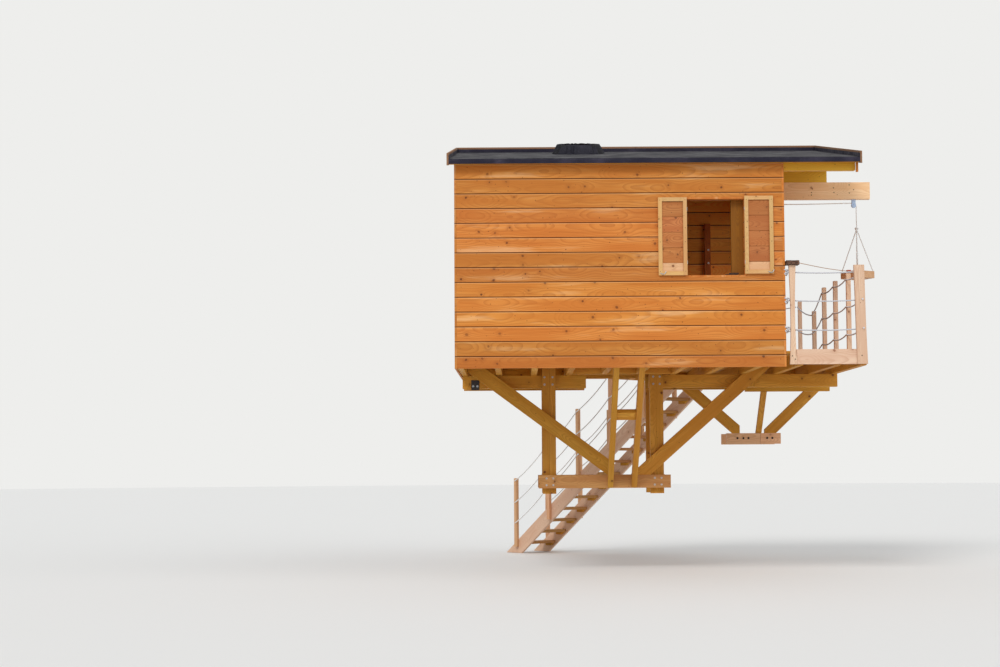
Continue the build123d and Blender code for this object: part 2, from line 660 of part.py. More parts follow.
def make_hoist():
    centre_x = CABIN_LENGTH + HOIST_BEAM_REACH - PULLEY_FROM_END
    centre_z = HOIST_UNDERSIDE - PULLEY_DROP + SHEAVE_RADIUS + CHEEK
    gap = SHEAVE_WIDTH / 2 + SHEAVE_PLAY
    width = (centre_x - PULLEY_WIDTH / 2, centre_x + PULLEY_WIDTH / 2)
    pulley = block(width, (BEAM_MIDDLE - gap - CHEEK, BEAM_MIDDLE + gap + CHEEK),
                   (HOIST_UNDERSIDE - CHEEK, HOIST_UNDERSIDE))
    for side in (-1, 1):
        y = sorted((BEAM_MIDDLE + side * gap, BEAM_MIDDLE + side * (gap + CHEEK)))
        cheek = block(width, y, (centre_z, HOIST_UNDERSIDE - CHEEK))
        cheek += Pos(centre_x, sum(y) / 2, centre_z) * Rot(90, 0, 0) * Cylinder(PULLEY_WIDTH / 2, CHEEK)
        pulley += cheek
    ride = SHEAVE_RADIUS + HOIST_ROPE / 4
    sheave = Cylinder(SHEAVE_RADIUS, SHEAVE_WIDTH) - Torus(ride, HOIST_ROPE / 2 + ROPE_REST)
    axle = Cylinder(CHEEK * 1.5, SHEAVE_WIDTH + 4 * CHEEK)
    wheel = Pos(centre_x, BEAM_MIDDLE, centre_z) * Rot(90, 0, 0) * (sheave + axle)
    save("hoist_pulley", pulley + wheel)

    knot = (centre_x + ride, BEAM_MIDDLE, HOIST_UNDERSIDE - KNOT_DROP)
    path = FilletPolyline(Vector(CABIN_LENGTH, BEAM_MIDDLE, centre_z + ride),
                          Vector(knot[0], BEAM_MIDDLE, centre_z + ride), Vector(*knot), radius=ride)
    start = Plane(origin=path @ 0, z_dir=path % 0)
    line = sweep(start * Circle(HOIST_ROPE / 2), path=path) + Pos(*knot) * Sphere(KNOT_RADIUS)

    half = TRAY_SIDE / 2
    top = TRAY_UNDERSIDE + TRAY_HEIGHT
    place = Pos(knot[0], BEAM_MIDDLE, 0) * Rot(0, 0, TRAY_TURN)
    box = block((-half, half), (-half, half), (TRAY_UNDERSIDE, top))
    inner = half - TRAY_BOARD
    tray = place * (box - block((-inner, inner), (-inner, inner), (TRAY_UNDERSIDE + TRAY_BOARD, top)))
    save("hoist_tray", tray)
    reach = half - TRAY_BOARD / 2
    for side_x in (-1, 1):
        for side_y in (-1, 1):
            foot = place * Pos(side_x * reach, side_y * reach, top - TRAY_BOARD / 2)
            line += rope([knot, tuple(foot.position)], TRAY_STRAND)
    corner = place * Pos(-half, -half, top - TRAY_HEIGHT / 3)
    cap_end = (CABIN_LENGTH + JOINT_GAP + CAP_LENGTH, 0, RAIL_POST_TOP + CAP_THICKNESS / 2)
    tag = rope(sagging([cap_end, tuple(corner.position)], TRAY_BOARD), TAG_LINE) - tray - cap_block()
    save("hoist_rope", line - tray)
    save("tag_line", tag)


def make_bearers():
    height = (BEARER_UNDERSIDE, JOIST_UNDERSIDE)
    front = (FRONT_BEARER, FRONT_BEARER + TIMBER)
    rear = (REAR_BEARER, REAR_BEARER + TIMBER)
    deep = (BEARER_UNDERSIDE - END_BEARER_EXTRA, JOIST_UNDERSIDE)
    save("front_bearers", block((BEARER_LEFT, BEARER_GAP[0]), front, height),
         block((BEARER_GAP[1], DECK_LENGTH), front, height))
    save("rear_bearers", block((BEARER_LEFT, BEARER_GAP[0]), rear, height),
         block((BEARER_GAP[1], END_BEARER_FROM), rear, height))
    save("rear_bearer_end", block((END_BEARER_FROM, DECK_LENGTH), rear, deep))


def bolt_spots():
    """Centres of the bolts that clamp the collars to the hanger posts, four to a post."""
    middle = COLLAR_UNDERSIDE + COLLAR_DEPTH / 2
    return [(left + share * POST_WIDTH, middle + side * BOLT_ROW)
            for left in (LEFT_POST, RIGHT_POST) for share in (0.27, 0.77) for side in (-1, 1)]


def make_trunk_frame():
    reach = (COLLAR_LEFT, COLLAR_RIGHT)
    height = (COLLAR_UNDERSIDE, COLLAR_TOP)
    front = block(reach, (COLLAR_FROM_FRONT, COLLAR_BACK), height)
    rear = block(reach, (REAR_COLLAR, REAR_COLLAR + TIMBER), height)
    post_z = (COLLAR_UNDERSIDE - POST_STUB, DECK_UNDERSIDE)
    joint = LEFT_POST + POST_WIDTH / 2
    tongue = (COLLAR_BACK - HOUSING, COLLAR_BACK)
    for left in (LEFT_POST, RIGHT_POST):
        front -= block((left - HOUSING_CLEARANCE, left + POST_WIDTH + HOUSING_CLEARANCE), tongue, height)
    posts = []
    for span in ((LEFT_POST, joint - JOINT_GAP / 2), (joint + JOINT_GAP / 2, LEFT_POST + POST_WIDTH),
                 (RIGHT_POST, RIGHT_POST + POST_WIDTH)):
        post = block(span, (COLLAR_BACK, COLLAR_BACK + TIMBER), post_z)
        posts.append(post + block(span, tongue, height))
        posts.append(block(span, (REAR_COLLAR - TIMBER, REAR_COLLAR), post_z))
    bolts = []
    long = 2 * TIMBER + BOLT_PROUD
    for x, z in bolt_spots():
        for face, way in ((COLLAR_FROM_FRONT, 1), (REAR_COLLAR + TIMBER, -1)):
            lay = Pos(x, face, z) * Rot(-90 * way, 0, 0)
            bore = lay * Pos(0, 0, long / 2) * Cylinder(BOLT / 2 + BOLT_CLEARANCE, long)
            shank = Pos(0, 0, long / 2) * Cylinder(BOLT / 2, long)
            head = Pos(0, 0, -BOLT_HEAD / 2) * Cylinder(BOLT_HEAD_RADIUS, BOLT_HEAD)
            nut = Pos(0, 0, 2 * TIMBER) * extrude(RegularPolygon(NUT_ACROSS / 2, 6, major_radius=False),
                                                  NUT_THICKNESS)
            bolts.append(lay * (shank + head + nut))
            front -= bore
            rear -= bore
            posts = [post - bore for post in posts]
    save("front_collar", front)
    save("rear_collar", rear)
    save("hanger_posts", *posts)
    save("collar_bolts", *bolts)


def raking(foot, run, way, y):
    """A brace from the collar's top to between the joists, cut level at both ends."""
    half = BRACE_WIDTH / 2 * (1 + run * run) ** 0.5
    head = foot + way * run * (BRACE_HEAD_HEIGHT - COLLAR_TOP)
    return prism_y([(foot - half, COLLAR_TOP), (foot + half, COLLAR_TOP),
                    (head + half, BRACE_HEAD_HEIGHT), (head - half, BRACE_HEAD_HEIGHT)], y)


def make_braces():
    plane = (COLLAR_FROM_FRONT, COLLAR_BACK)
    clear = JOIST_WIDTH + JOINT_GAP
    lines = joist_lines()
    left = raking(LEFT_BRACE_FOOT, LEFT_BRACE_RUN, -1, plane)
    right = raking(RIGHT_BRACE_FOOT, RIGHT_BRACE_RUN, 1, plane)
    trimmed = [x for x in lines if TRUNK_X - TRUNK_RADIUS < x < TRUNK_X + TRUNK_RADIUS]
    left_x = (trimmed[0] + JOIST_WIDTH, trimmed[0] + JOIST_WIDTH + TRUNK_BRACE_THICKNESS)
    right_x = (trimmed[1] - TRUNK_BRACE_THICKNESS, trimmed[1])
    left &= block((lines[0] + clear, left_x[1]), plane, (0, FLOOR_TOP))
    right &= block((right_x[0], lines[9] - JOINT_GAP), plane, (0, FLOOR_TOP))
    right -= block((lines[8], lines[8] + clear), plane, (JOIST_UNDERSIDE, FLOOR_TOP))
    save("brace_front_left", left)
    save("brace_front_right", right)
    blocks = []
    for x in (LEFT_PACKER, RIGHT_PACKER):
        blocks.append(block((x, x + PACKER_WIDTH), (COLLAR_BACK, FRONT_BEARER),
                            (BEARER_UNDERSIDE, JOIST_UNDERSIDE)))

    foot = COLLAR_UNDERSIDE
    rise = BRACE_HEAD_HEIGHT - foot
    slant = TRUNK_BRACE_DEPTH * 2 ** 0.5
    outline = [(COLLAR_FROM_FRONT, foot), (COLLAR_FROM_FRONT, foot + slant),
               (COLLAR_FROM_FRONT - rise + slant, BRACE_HEAD_HEIGHT),
               (COLLAR_FROM_FRONT - rise, BRACE_HEAD_HEIGHT)]
    limit = block((0, CABIN_LENGTH), (TRUNK_BRACE_BACK, CABIN_DEPTH), (0, FLOOR_TOP))
    save("trunk_braces", prism_x(outline, left_x) & limit, prism_x(outline, right_x) & limit)
    spacer_z = foot + slant / 2 + COLLAR_FROM_FRONT - SPACER_FROM_FRONT
    spacer = Box(right_x[0] - left_x[1], TIMBER, SPACER_WIDTH)
    blocks.append(Pos((left_x[1] + right_x[0]) / 2, SPACER_FROM_FRONT, spacer_z)
                  * Rot(45, 0, 0) * spacer)
    save("brace_blocks", *blocks)
    steel_z = BEARER_UNDERSIDE - PLATE_LOWER
    save("steel_plate", block((PLATE_LEFT, PLATE_LEFT + PLATE_WIDTH),
                              (FRONT_BEARER - PLATE_THICKNESS, FRONT_BEARER),
                              (steel_z, steel_z + PLATE_HEIGHT)))


def make_second_frame():
    front = (SECOND_Y - SECOND_RADIUS - TIMBER, SECOND_Y - SECOND_RADIUS)
    back = (SECOND_Y + SECOND_RADIUS, SECOND_Y + SECOND_RADIUS + TIMBER)
    height = (SECOND_COLLAR_UNDERSIDE, SECOND_COLLAR_UNDERSIDE + SECOND_COLLAR_DEPTH)
    save("second_collars", block((SECOND_COLLAR_LEFT, SECOND_COLLAR_JOINT), front, height),
         block((SECOND_COLLAR_JOINT + JOINT_GAP, SECOND_COLLAR_RIGHT), front, height),
         block((SECOND_COLLAR_LEFT, SECOND_COLLAR_RIGHT), back, height))
    plane = (back[0] - TIMBER, back[0])
    head = JOIST_UNDERSIDE - SECOND_BEARER_DEPTH
    rise = head - SECOND_COLLAR_UNDERSIDE
    wide = SECOND_BRACE_WIDTH * (1 + SECOND_LEFT_RUN ** 2) ** 0.5
    foot = SECOND_LEFT_HEAD + SECOND_LEFT_RUN * rise
    left = prism_y([(foot, SECOND_COLLAR_UNDERSIDE), (foot + wide, SECOND_COLLAR_UNDERSIDE),
                    (SECOND_LEFT_HEAD + wide, head), (SECOND_LEFT_HEAD, head)], plane)
    wide = SECOND_BRACE_WIDTH * (1 + SECOND_RIGHT_RUN ** 2) ** 0.5
    foot = SECOND_RIGHT_HEAD - SECOND_RIGHT_RUN * rise
    right = prism_y([(foot, SECOND_COLLAR_UNDERSIDE), (foot - wide, SECOND_COLLAR_UNDERSIDE),
                     (SECOND_RIGHT_HEAD - wide, head), (SECOND_RIGHT_HEAD, head)], plane)
    left &= block((0, SECOND_LEFT_END), plane, (0, head))
    right &= block((SECOND_RIGHT_END, DECK_LENGTH * 2), plane, (0, head))
    save("second_bearer", block((SECOND_BEARER_LEFT, SECOND_BEARER_RIGHT), plane,
                                (head, JOIST_UNDERSIDE)))
    half = CENTRE_BRACE_DEPTH / 2
    foot_y = sum(front) / 2
    head_y = REAR_BEARER + TIMBER / 2
    rise = BEARER_UNDERSIDE - END_BEARER_EXTRA - height[1]
    half *= (1 + ((foot_y - head_y) / rise) ** 2) ** 0.5
    centre = prism_x([(foot_y - half, height[1]), (foot_y + half, height[1]),
                      (head_y + half, height[1] + rise), (head_y - half, height[1] + rise)],
                     (CENTRE_BRACE_LEFT, CENTRE_BRACE_LEFT + TIMBER))
    save("second_braces", left, right, centre)


def cap_block():
    return block((CABIN_LENGTH + JOINT_GAP, CABIN_LENGTH + JOINT_GAP + CAP_LENGTH),
                 (-CAP_WIDTH / 2, CAP_WIDTH / 2), (RAIL_POST_TOP, RAIL_POST_TOP + CAP_THICKNESS))


def shaped_post(left, right, y, z):
    """A plank post with natural edges: foot, middle and head positions of its two sides."""
    middle = z[0] + (z[1] - z[0]) * 0.6
    edge = Line((left[0], y[0], z[0]), (right[0], y[0], z[0]))
    edge += ThreePointArc((right[0], y[0], z[0]), (right[1], y[0], middle), (right[2], y[0], z[1]))
    edge += Line((right[2], y[0], z[1]), (left[2], y[0], z[1]))
    edge += ThreePointArc((left[2], y[0], z[1]), (left[1], y[0], middle), (left[0], y[0], z[0]))
    return extrude(make_face(edge), amount=y[1] - y[0], dir=(0, 1, 0))


def square_post(x, y, height, turn=0):
    """A squared post with a chamfered head, standing on the deck about its centre line."""
    post = Pos(0, 0, height / 2) * Box(SIDE_POST, SIDE_POST, height)
    post = chamfer(post.faces().sort_by(Axis.Z)[-1].edges(), SIDE_POST / 12)
    return Pos(x, y, FLOOR_TOP) * Rot(0, 0, turn) * post


def make_railing():
    back = CLADDING
    post_z = (JOIST_UNDERSIDE + KICK_RISE, RAIL_POST_TOP)
    post_y = (back - FRONT_POST_THICKNESS, back)
    right = FRONT_POST_LEFT + FRONT_POST_WIDTH
    bite = (FRONT_POST_WIDTH - FRONT_POST_WAIST) / 2
    edges = CORNER_POST_EDGES
    left_post = shaped_post((FRONT_POST_LEFT, FRONT_POST_LEFT + bite, FRONT_POST_LEFT),
                            (right, right - bite, right), post_y, post_z)
    corner_post = shaped_post(edges[:3], (edges[5], edges[4], edges[3]), post_y, post_z)
    save("deck_front_posts", left_post, corner_post)
    kick = block((right, edges[0]), (back - KICK_THICKNESS, back), (post_z[0], post_z[0] + KICK_DEPTH))
    save("deck_kick_board", kick - corner_post)
    save("post_cap", cap_block())

    half = SIDE_POST / 2
    line_x = DECK_LENGTH - SIDE_POST_INSET - half
    posts = []
    for i, y in enumerate(SIDE_POST_SPOTS):
        height = RAIL_POST_HEIGHT - (LOW_POST_DROP if i == LOW_POST else 0)
        posts.append(square_post(line_x, y + half, height))
    line_y = DECK_REAR - SIDE_POST_INSET - half
    for x in REAR_POST_SPOTS:
        posts.append(square_post(x, line_y, RAIL_POST_HEIGHT))
    inset = (half + SIDE_POST_INSET) * DIAGONAL
    slant = []
    for t in SLANT_POST_SPOTS:
        spot = (CABIN_DEPTH - SLANT_OFFSET + t * DIAGONAL + inset, CABIN_DEPTH + t * DIAGONAL - inset)
        slant.append(spot)
        posts.append(square_post(spot[0], spot[1], RAIL_POST_HEIGHT, STAIR_ANGLE))
    save("rail_posts", *posts)

    ropes = []
    behind = ROPE / 2 + ROPE_REST
    for rise in ROPE_RISES:
        level = FLOOR_TOP + rise
        start = (CABIN_LENGTH + 2 * ROPE_KNOT, back + behind, level)
        end = (edges[0] + 2 * ROPE, back + behind, level)
        front = rope(sagging([start, end], ROPE_SAG / 3), ROPE)
        ropes.append(front + Pos(start[0] - ROPE / 2, start[1], start[2]) * Sphere(ROPE_KNOT))
        inner = line_x - half - behind
        held = [(inner, back + JOINT_GAP, level)]
        for i, y in enumerate(SIDE_POST_SPOTS):
            drop = LOW_POST_DROP * rise / RAIL_POST_HEIGHT if i == LOW_POST else 0
            held.append((inner, y + half, level - drop))
        ropes.append(rope(sagging(held, ROPE_SAG), ROPE))
        inner = line_y - half - behind
        held = [(x, inner, level) for x in REAR_POST_SPOTS] + [(line_x - half - ROPE * 2, inner, level)]
        ropes.append(rope(sagging(held, ROPE_SAG), ROPE))
        away = (half + behind) * DIAGONAL
        held = [(x + away, y - away, level) for x, y in slant]
        ropes.append(rope(sagging(held, ROPE_SAG), ROPE))
    save("rail_ropes", *ropes)


def make_stair():
    place = Location((STAIR_FOOT[0], STAIR_FOOT[1], 0), (0, 0, -STAIR_ANGLE))
    edge = (STAIR_FOOT[1] - STAIR_FOOT[0] - SLANT_OFFSET) * DIAGONAL
    side = [(0, 0), (edge, STAIR_SLOPE * edge), (edge, FLOOR_TOP),
            ((FLOOR_TOP - STRINGER_HEIGHT) / STAIR_SLOPE, FLOOR_TOP),
            (-STRINGER_HEIGHT / STAIR_SLOPE, 0)]
    far = STAIR_WIDTH - STRINGER_THICKNESS
    save("stair_stringers", place * prism_y(side, (0, STRINGER_THICKNESS)),
         place * prism_y(side, (far, STAIR_WIDTH)))
    treads = []
    cleats = []
    rise = FLOOR_TOP / STAIR_RISERS
    for i in range(1, STAIR_RISERS):
        top = i * rise
        under = top - TREAD_THICKNESS
        back = under / STAIR_SLOPE - TREAD_INSET
        tread = block((back - TREAD_DEPTH, back), (STRINGER_THICKNESS, far), (under, top))
        treads.append(place * tread)
        bottom = under - CLEAT_HEIGHT
        outline = [(back - TREAD_INSET, under), (back - TREAD_INSET - CLEAT_HEIGHT / STAIR_SLOPE, bottom),
                   (back - CLEAT_LENGTH, bottom), (back - CLEAT_LENGTH, under)]
        for across in ((STRINGER_THICKNESS, STRINGER_THICKNESS + CLEAT_WIDTH), (far - CLEAT_WIDTH, far)):
            cleats.append(place * prism_y(outline, across))
    save("stair_treads", *treads)
    save("stair_cleats", *cleats)

    posts = []
    ropes = []
    tops = []
    for s in STAIR_POST_SPOTS:
        middle = STAIR_SLOPE * s + STRINGER_HEIGHT / 2
        span = (s - STAIR_POST / 2, s + STAIR_POST / 2)
        height = (max(middle - STAIR_POST_DROP, STAIR_POST_LOWEST), middle + STAIR_POST_RISE)
        tops.append((s, height[1]))
        for across in ((-STAIR_POST, 0), (STAIR_WIDTH, STAIR_WIDTH + STAIR_POST)):
            post = block(span, across, height)
            post = chamfer(post.faces().sort_by(Axis.Z)[-1].edges(), STAIR_POST / 12)
            posts.append(place * post)
    save("stair_posts", *posts)
    beside = STAIR_POST + ROPE / 2 + ROPE_REST
    for drop in STAIR_ROPE_DROPS:
        for across in (-beside, STAIR_WIDTH + beside):
            held = [(s, across, top - drop) for s, top in tops]
            ropes.append(place * rope(sagging(held, STAIR_ROPE_SAG), ROPE))
    save("stair_ropes", *ropes)


os.makedirs("parts", exist_ok=True)
make_platform()
make_walls()
make_openings()
make_roof()
make_hoist()
make_bearers()
make_trunk_frame()
make_braces()
make_second_frame()
make_railing()
make_stair()
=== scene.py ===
"""Looks of a boarded timber tree house on a braced joist platform.

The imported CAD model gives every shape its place. This script dresses each timber as boards with
their own grain, tone and knots, lays the ropes as twisted strands, adds the small fastenings and
sets a camera in soft studio light. Sizes in the classes are millimetres in the house's measure:
X right from the cabin's left face, Y back from its front face, Z up from the stair's foot.
"""

import logging
import math
import random
from collections.abc import Callable, Iterator, Sequence
from dataclasses import dataclass, field
from enum import Enum
from itertools import count

import bmesh
import bpy
from mathutils import Matrix, Vector, noise


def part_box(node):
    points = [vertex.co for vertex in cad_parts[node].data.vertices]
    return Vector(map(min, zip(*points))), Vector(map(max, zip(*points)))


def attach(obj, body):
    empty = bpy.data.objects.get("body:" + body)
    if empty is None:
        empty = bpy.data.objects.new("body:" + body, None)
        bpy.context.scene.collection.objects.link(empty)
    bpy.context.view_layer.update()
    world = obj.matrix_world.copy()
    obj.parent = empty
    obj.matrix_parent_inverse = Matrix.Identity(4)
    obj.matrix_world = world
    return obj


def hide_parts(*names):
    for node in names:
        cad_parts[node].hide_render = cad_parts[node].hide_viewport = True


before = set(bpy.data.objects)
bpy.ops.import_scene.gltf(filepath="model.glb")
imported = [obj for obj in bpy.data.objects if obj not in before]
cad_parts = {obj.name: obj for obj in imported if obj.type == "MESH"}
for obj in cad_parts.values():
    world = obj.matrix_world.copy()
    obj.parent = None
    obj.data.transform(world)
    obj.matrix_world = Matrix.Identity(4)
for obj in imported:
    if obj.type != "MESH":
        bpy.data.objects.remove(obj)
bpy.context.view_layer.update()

HOUSE_ORIGIN = Vector((2180.0, 1625.0, 1178.0))
BOARD_PITCH = 179.8
FIRST_JOINT = 2706.4
MERGE_DISTANCE = 1e-5
FLAT_ANGLE = math.radians(0.5)
CREASE_ANGLE = math.radians(40)
FRONTWARD = (0.0, -1.0, 0.0)
# Air in millimetres between a post and the rope that passes it
ROPE_GAP = 0.3
# A rope's shape, as shares of its thickness: radius of the middle of its strands, lay and step along it
STRAND_RADIUS, ROPE_LAY, ROPE_STEP = 0.43, 3.2, 0.6
STRAND_RELIEF = 0.16
SPAN_POINTS = 10
KNOT_POINTS = 48

# Two kinds of node and their operations
PLUS, MINUS, TIMES, OVER, TIMES_PLUS, FRACTION, SIZE_OF, UNDER, ANGLE_OF, COSINE, GREATER = (
    ("ShaderNodeMath", name) for name in ("ADD", "SUBTRACT", "MULTIPLY", "DIVIDE", "MULTIPLY_ADD", "FRACT",
                                          "ABSOLUTE", "LESS_THAN", "ARCTAN2", "COSINE", "MAXIMUM"))
STRETCH, SHIFT, SCALE = (("ShaderNodeVectorMath", name) for name in ("MULTIPLY", "MULTIPLY_ADD", "SCALE"))
RANGE = "ShaderNodeMapRange"
NOISE = "ShaderNodeTexNoise"
JOIN = "ShaderNodeCombineXYZ"
PART = "ShaderNodeSeparateXYZ"
BUMP = "ShaderNodeBump"
# Socket types of a tree's inputs, and settings that all nodes of a kind have here
SOCKETS = {float: "NodeSocketFloat", int: "NodeSocketInt", bpy.types.Material: "NodeSocketMaterial"}
USUAL = {RANGE: {"interpolation_type": "SMOOTHSTEP"}, "ShaderNodeMix": {"data_type": "RGBA"}}

Piece = bpy.types.Object
Tree = bpy.types.NodeTree
Node = bpy.types.Node
Socket = bpy.types.NodeSocket
Shape = bmesh.types.BMesh
Pair = tuple[float, float]
Spot = tuple[float, float, float]
Box = tuple[Pair, Pair, Pair]
Line = list[Vector]
Inputs = dict | tuple

log = logging.getLogger("tree_house")


def place(x: float, y: float, z: float) -> Vector:
    """Turn a point of the house's measure into the shared frame.

    Args:
        x: Distance right of the cabin's left face, in millimetres.
        y: Distance behind the cabin's front face, in millimetres.
        z: Height above the stair's foot, in millimetres.

    Returns:
        The point in metres.
    """
    return (Vector((x, y, z)) - HOUSE_ORIGIN) / 1000.0


def linear(colour: str) -> tuple[float, float, float, float]:
    """Turn an sRGB hex colour into a linear one.

    Args:
        colour: Six hex digits after a number sign.

    Returns:
        Red, green, blue and alpha.
    """
    parts = [int(colour[i : i + 2], 16) / 255.0 for i in (1, 3, 5)]
    bent = [c / 12.92 if c <= 0.04045 else ((c + 0.055) / 1.055) ** 2.4 for c in parts]
    return (bent[0], bent[1], bent[2], 1.0)


def feed(tree: Tree, node: Node, inputs: Inputs) -> None:
    """Set or link a node's inputs.

    Args:
        tree: The node's tree.
        node: The node.
        inputs: Values by input name or number, or a tuple in the inputs' order. A value is a number, a
            hex colour, an output, or a node that stands for its first output.
    """
    if isinstance(inputs, dict):
        pairs = [(node.inputs[key], value) for key, value in inputs.items()]
    else:
        pairs = list(zip([socket for socket in node.inputs if socket.enabled], inputs))
    for socket, value in pairs:
        if isinstance(value, Node):
            value = next(output for output in value.outputs if output.enabled)
        if isinstance(value, Socket):
            tree.links.new(value, socket)
        else:
            coloured = isinstance(value, str) and value.startswith("#")
            socket.default_value = linear(value) if coloured else value


def add(tree: Tree, kind: str | tuple[str, str], inputs: Inputs = (), **settings: object) -> Node:
    """Add one node with its settings and links.

    Args:
        tree: The tree that the node joins.
        kind: The node's type name, with its operation if it has one.
        inputs: What ``feed`` takes.
        **settings: The node's own properties; ``stops`` fills a colour ramp.

    Returns:
        The new node.
    """
    if isinstance(kind, tuple):
        kind, settings["operation"] = kind
    node = tree.nodes.new(kind)
    for name, value in (USUAL.get(kind, {}) | settings).items():
        if name != "stops":
            setattr(node, name, value)
            continue
        ramp = node.color_ramp
        while len(ramp.elements) < len(value):
            ramp.elements.new(1.0)
        for element, (position, colour) in zip(ramp.elements, value):
            element.position = position
            element.color = linear(colour)
    feed(tree, node, inputs)
    return node


def painted(tree: Tree, base: str | Node, *layers: tuple) -> Node:
    """Lay colours over a base.

    Args:
        tree: The material's tree.
        base: The colour underneath.
        *layers: Each a share and a colour. A share is a node, or a value with the two ends of its span
            and the shares there.

    Returns:
        The node whose first output is the painted colour.
    """
    for share, colour in layers:
        if isinstance(share, tuple):
            share = add(tree, RANGE, share)
        base = add(tree, "ShaderNodeMix", (share, base, colour))
    return base


@dataclass(frozen=True)
class Finish:
    """A surface that is made once and shared by its pieces."""

    name: str

    def material(self) -> bpy.types.Material:
        """Return the finish's material, made at its first use."""
        made = bpy.data.materials.get(self.name)
        if made:
            return made
        material = bpy.data.materials.new(self.name)
        material.use_nodes = True
        tree = material.node_tree
        tree.nodes.clear()
        shader = add(tree, "ShaderNodeBsdfPrincipled")
        add(tree, "ShaderNodeOutputMaterial", {"Surface": shader})
        feed(tree, shader, self.dress(tree, add(tree, "ShaderNodeTexCoord").outputs["Object"]))
        return material

    def dress(self, tree: Tree, spot: Socket) -> dict:
        """Add the finish's nodes and return the shader's inputs."""
        raise NotImplementedError


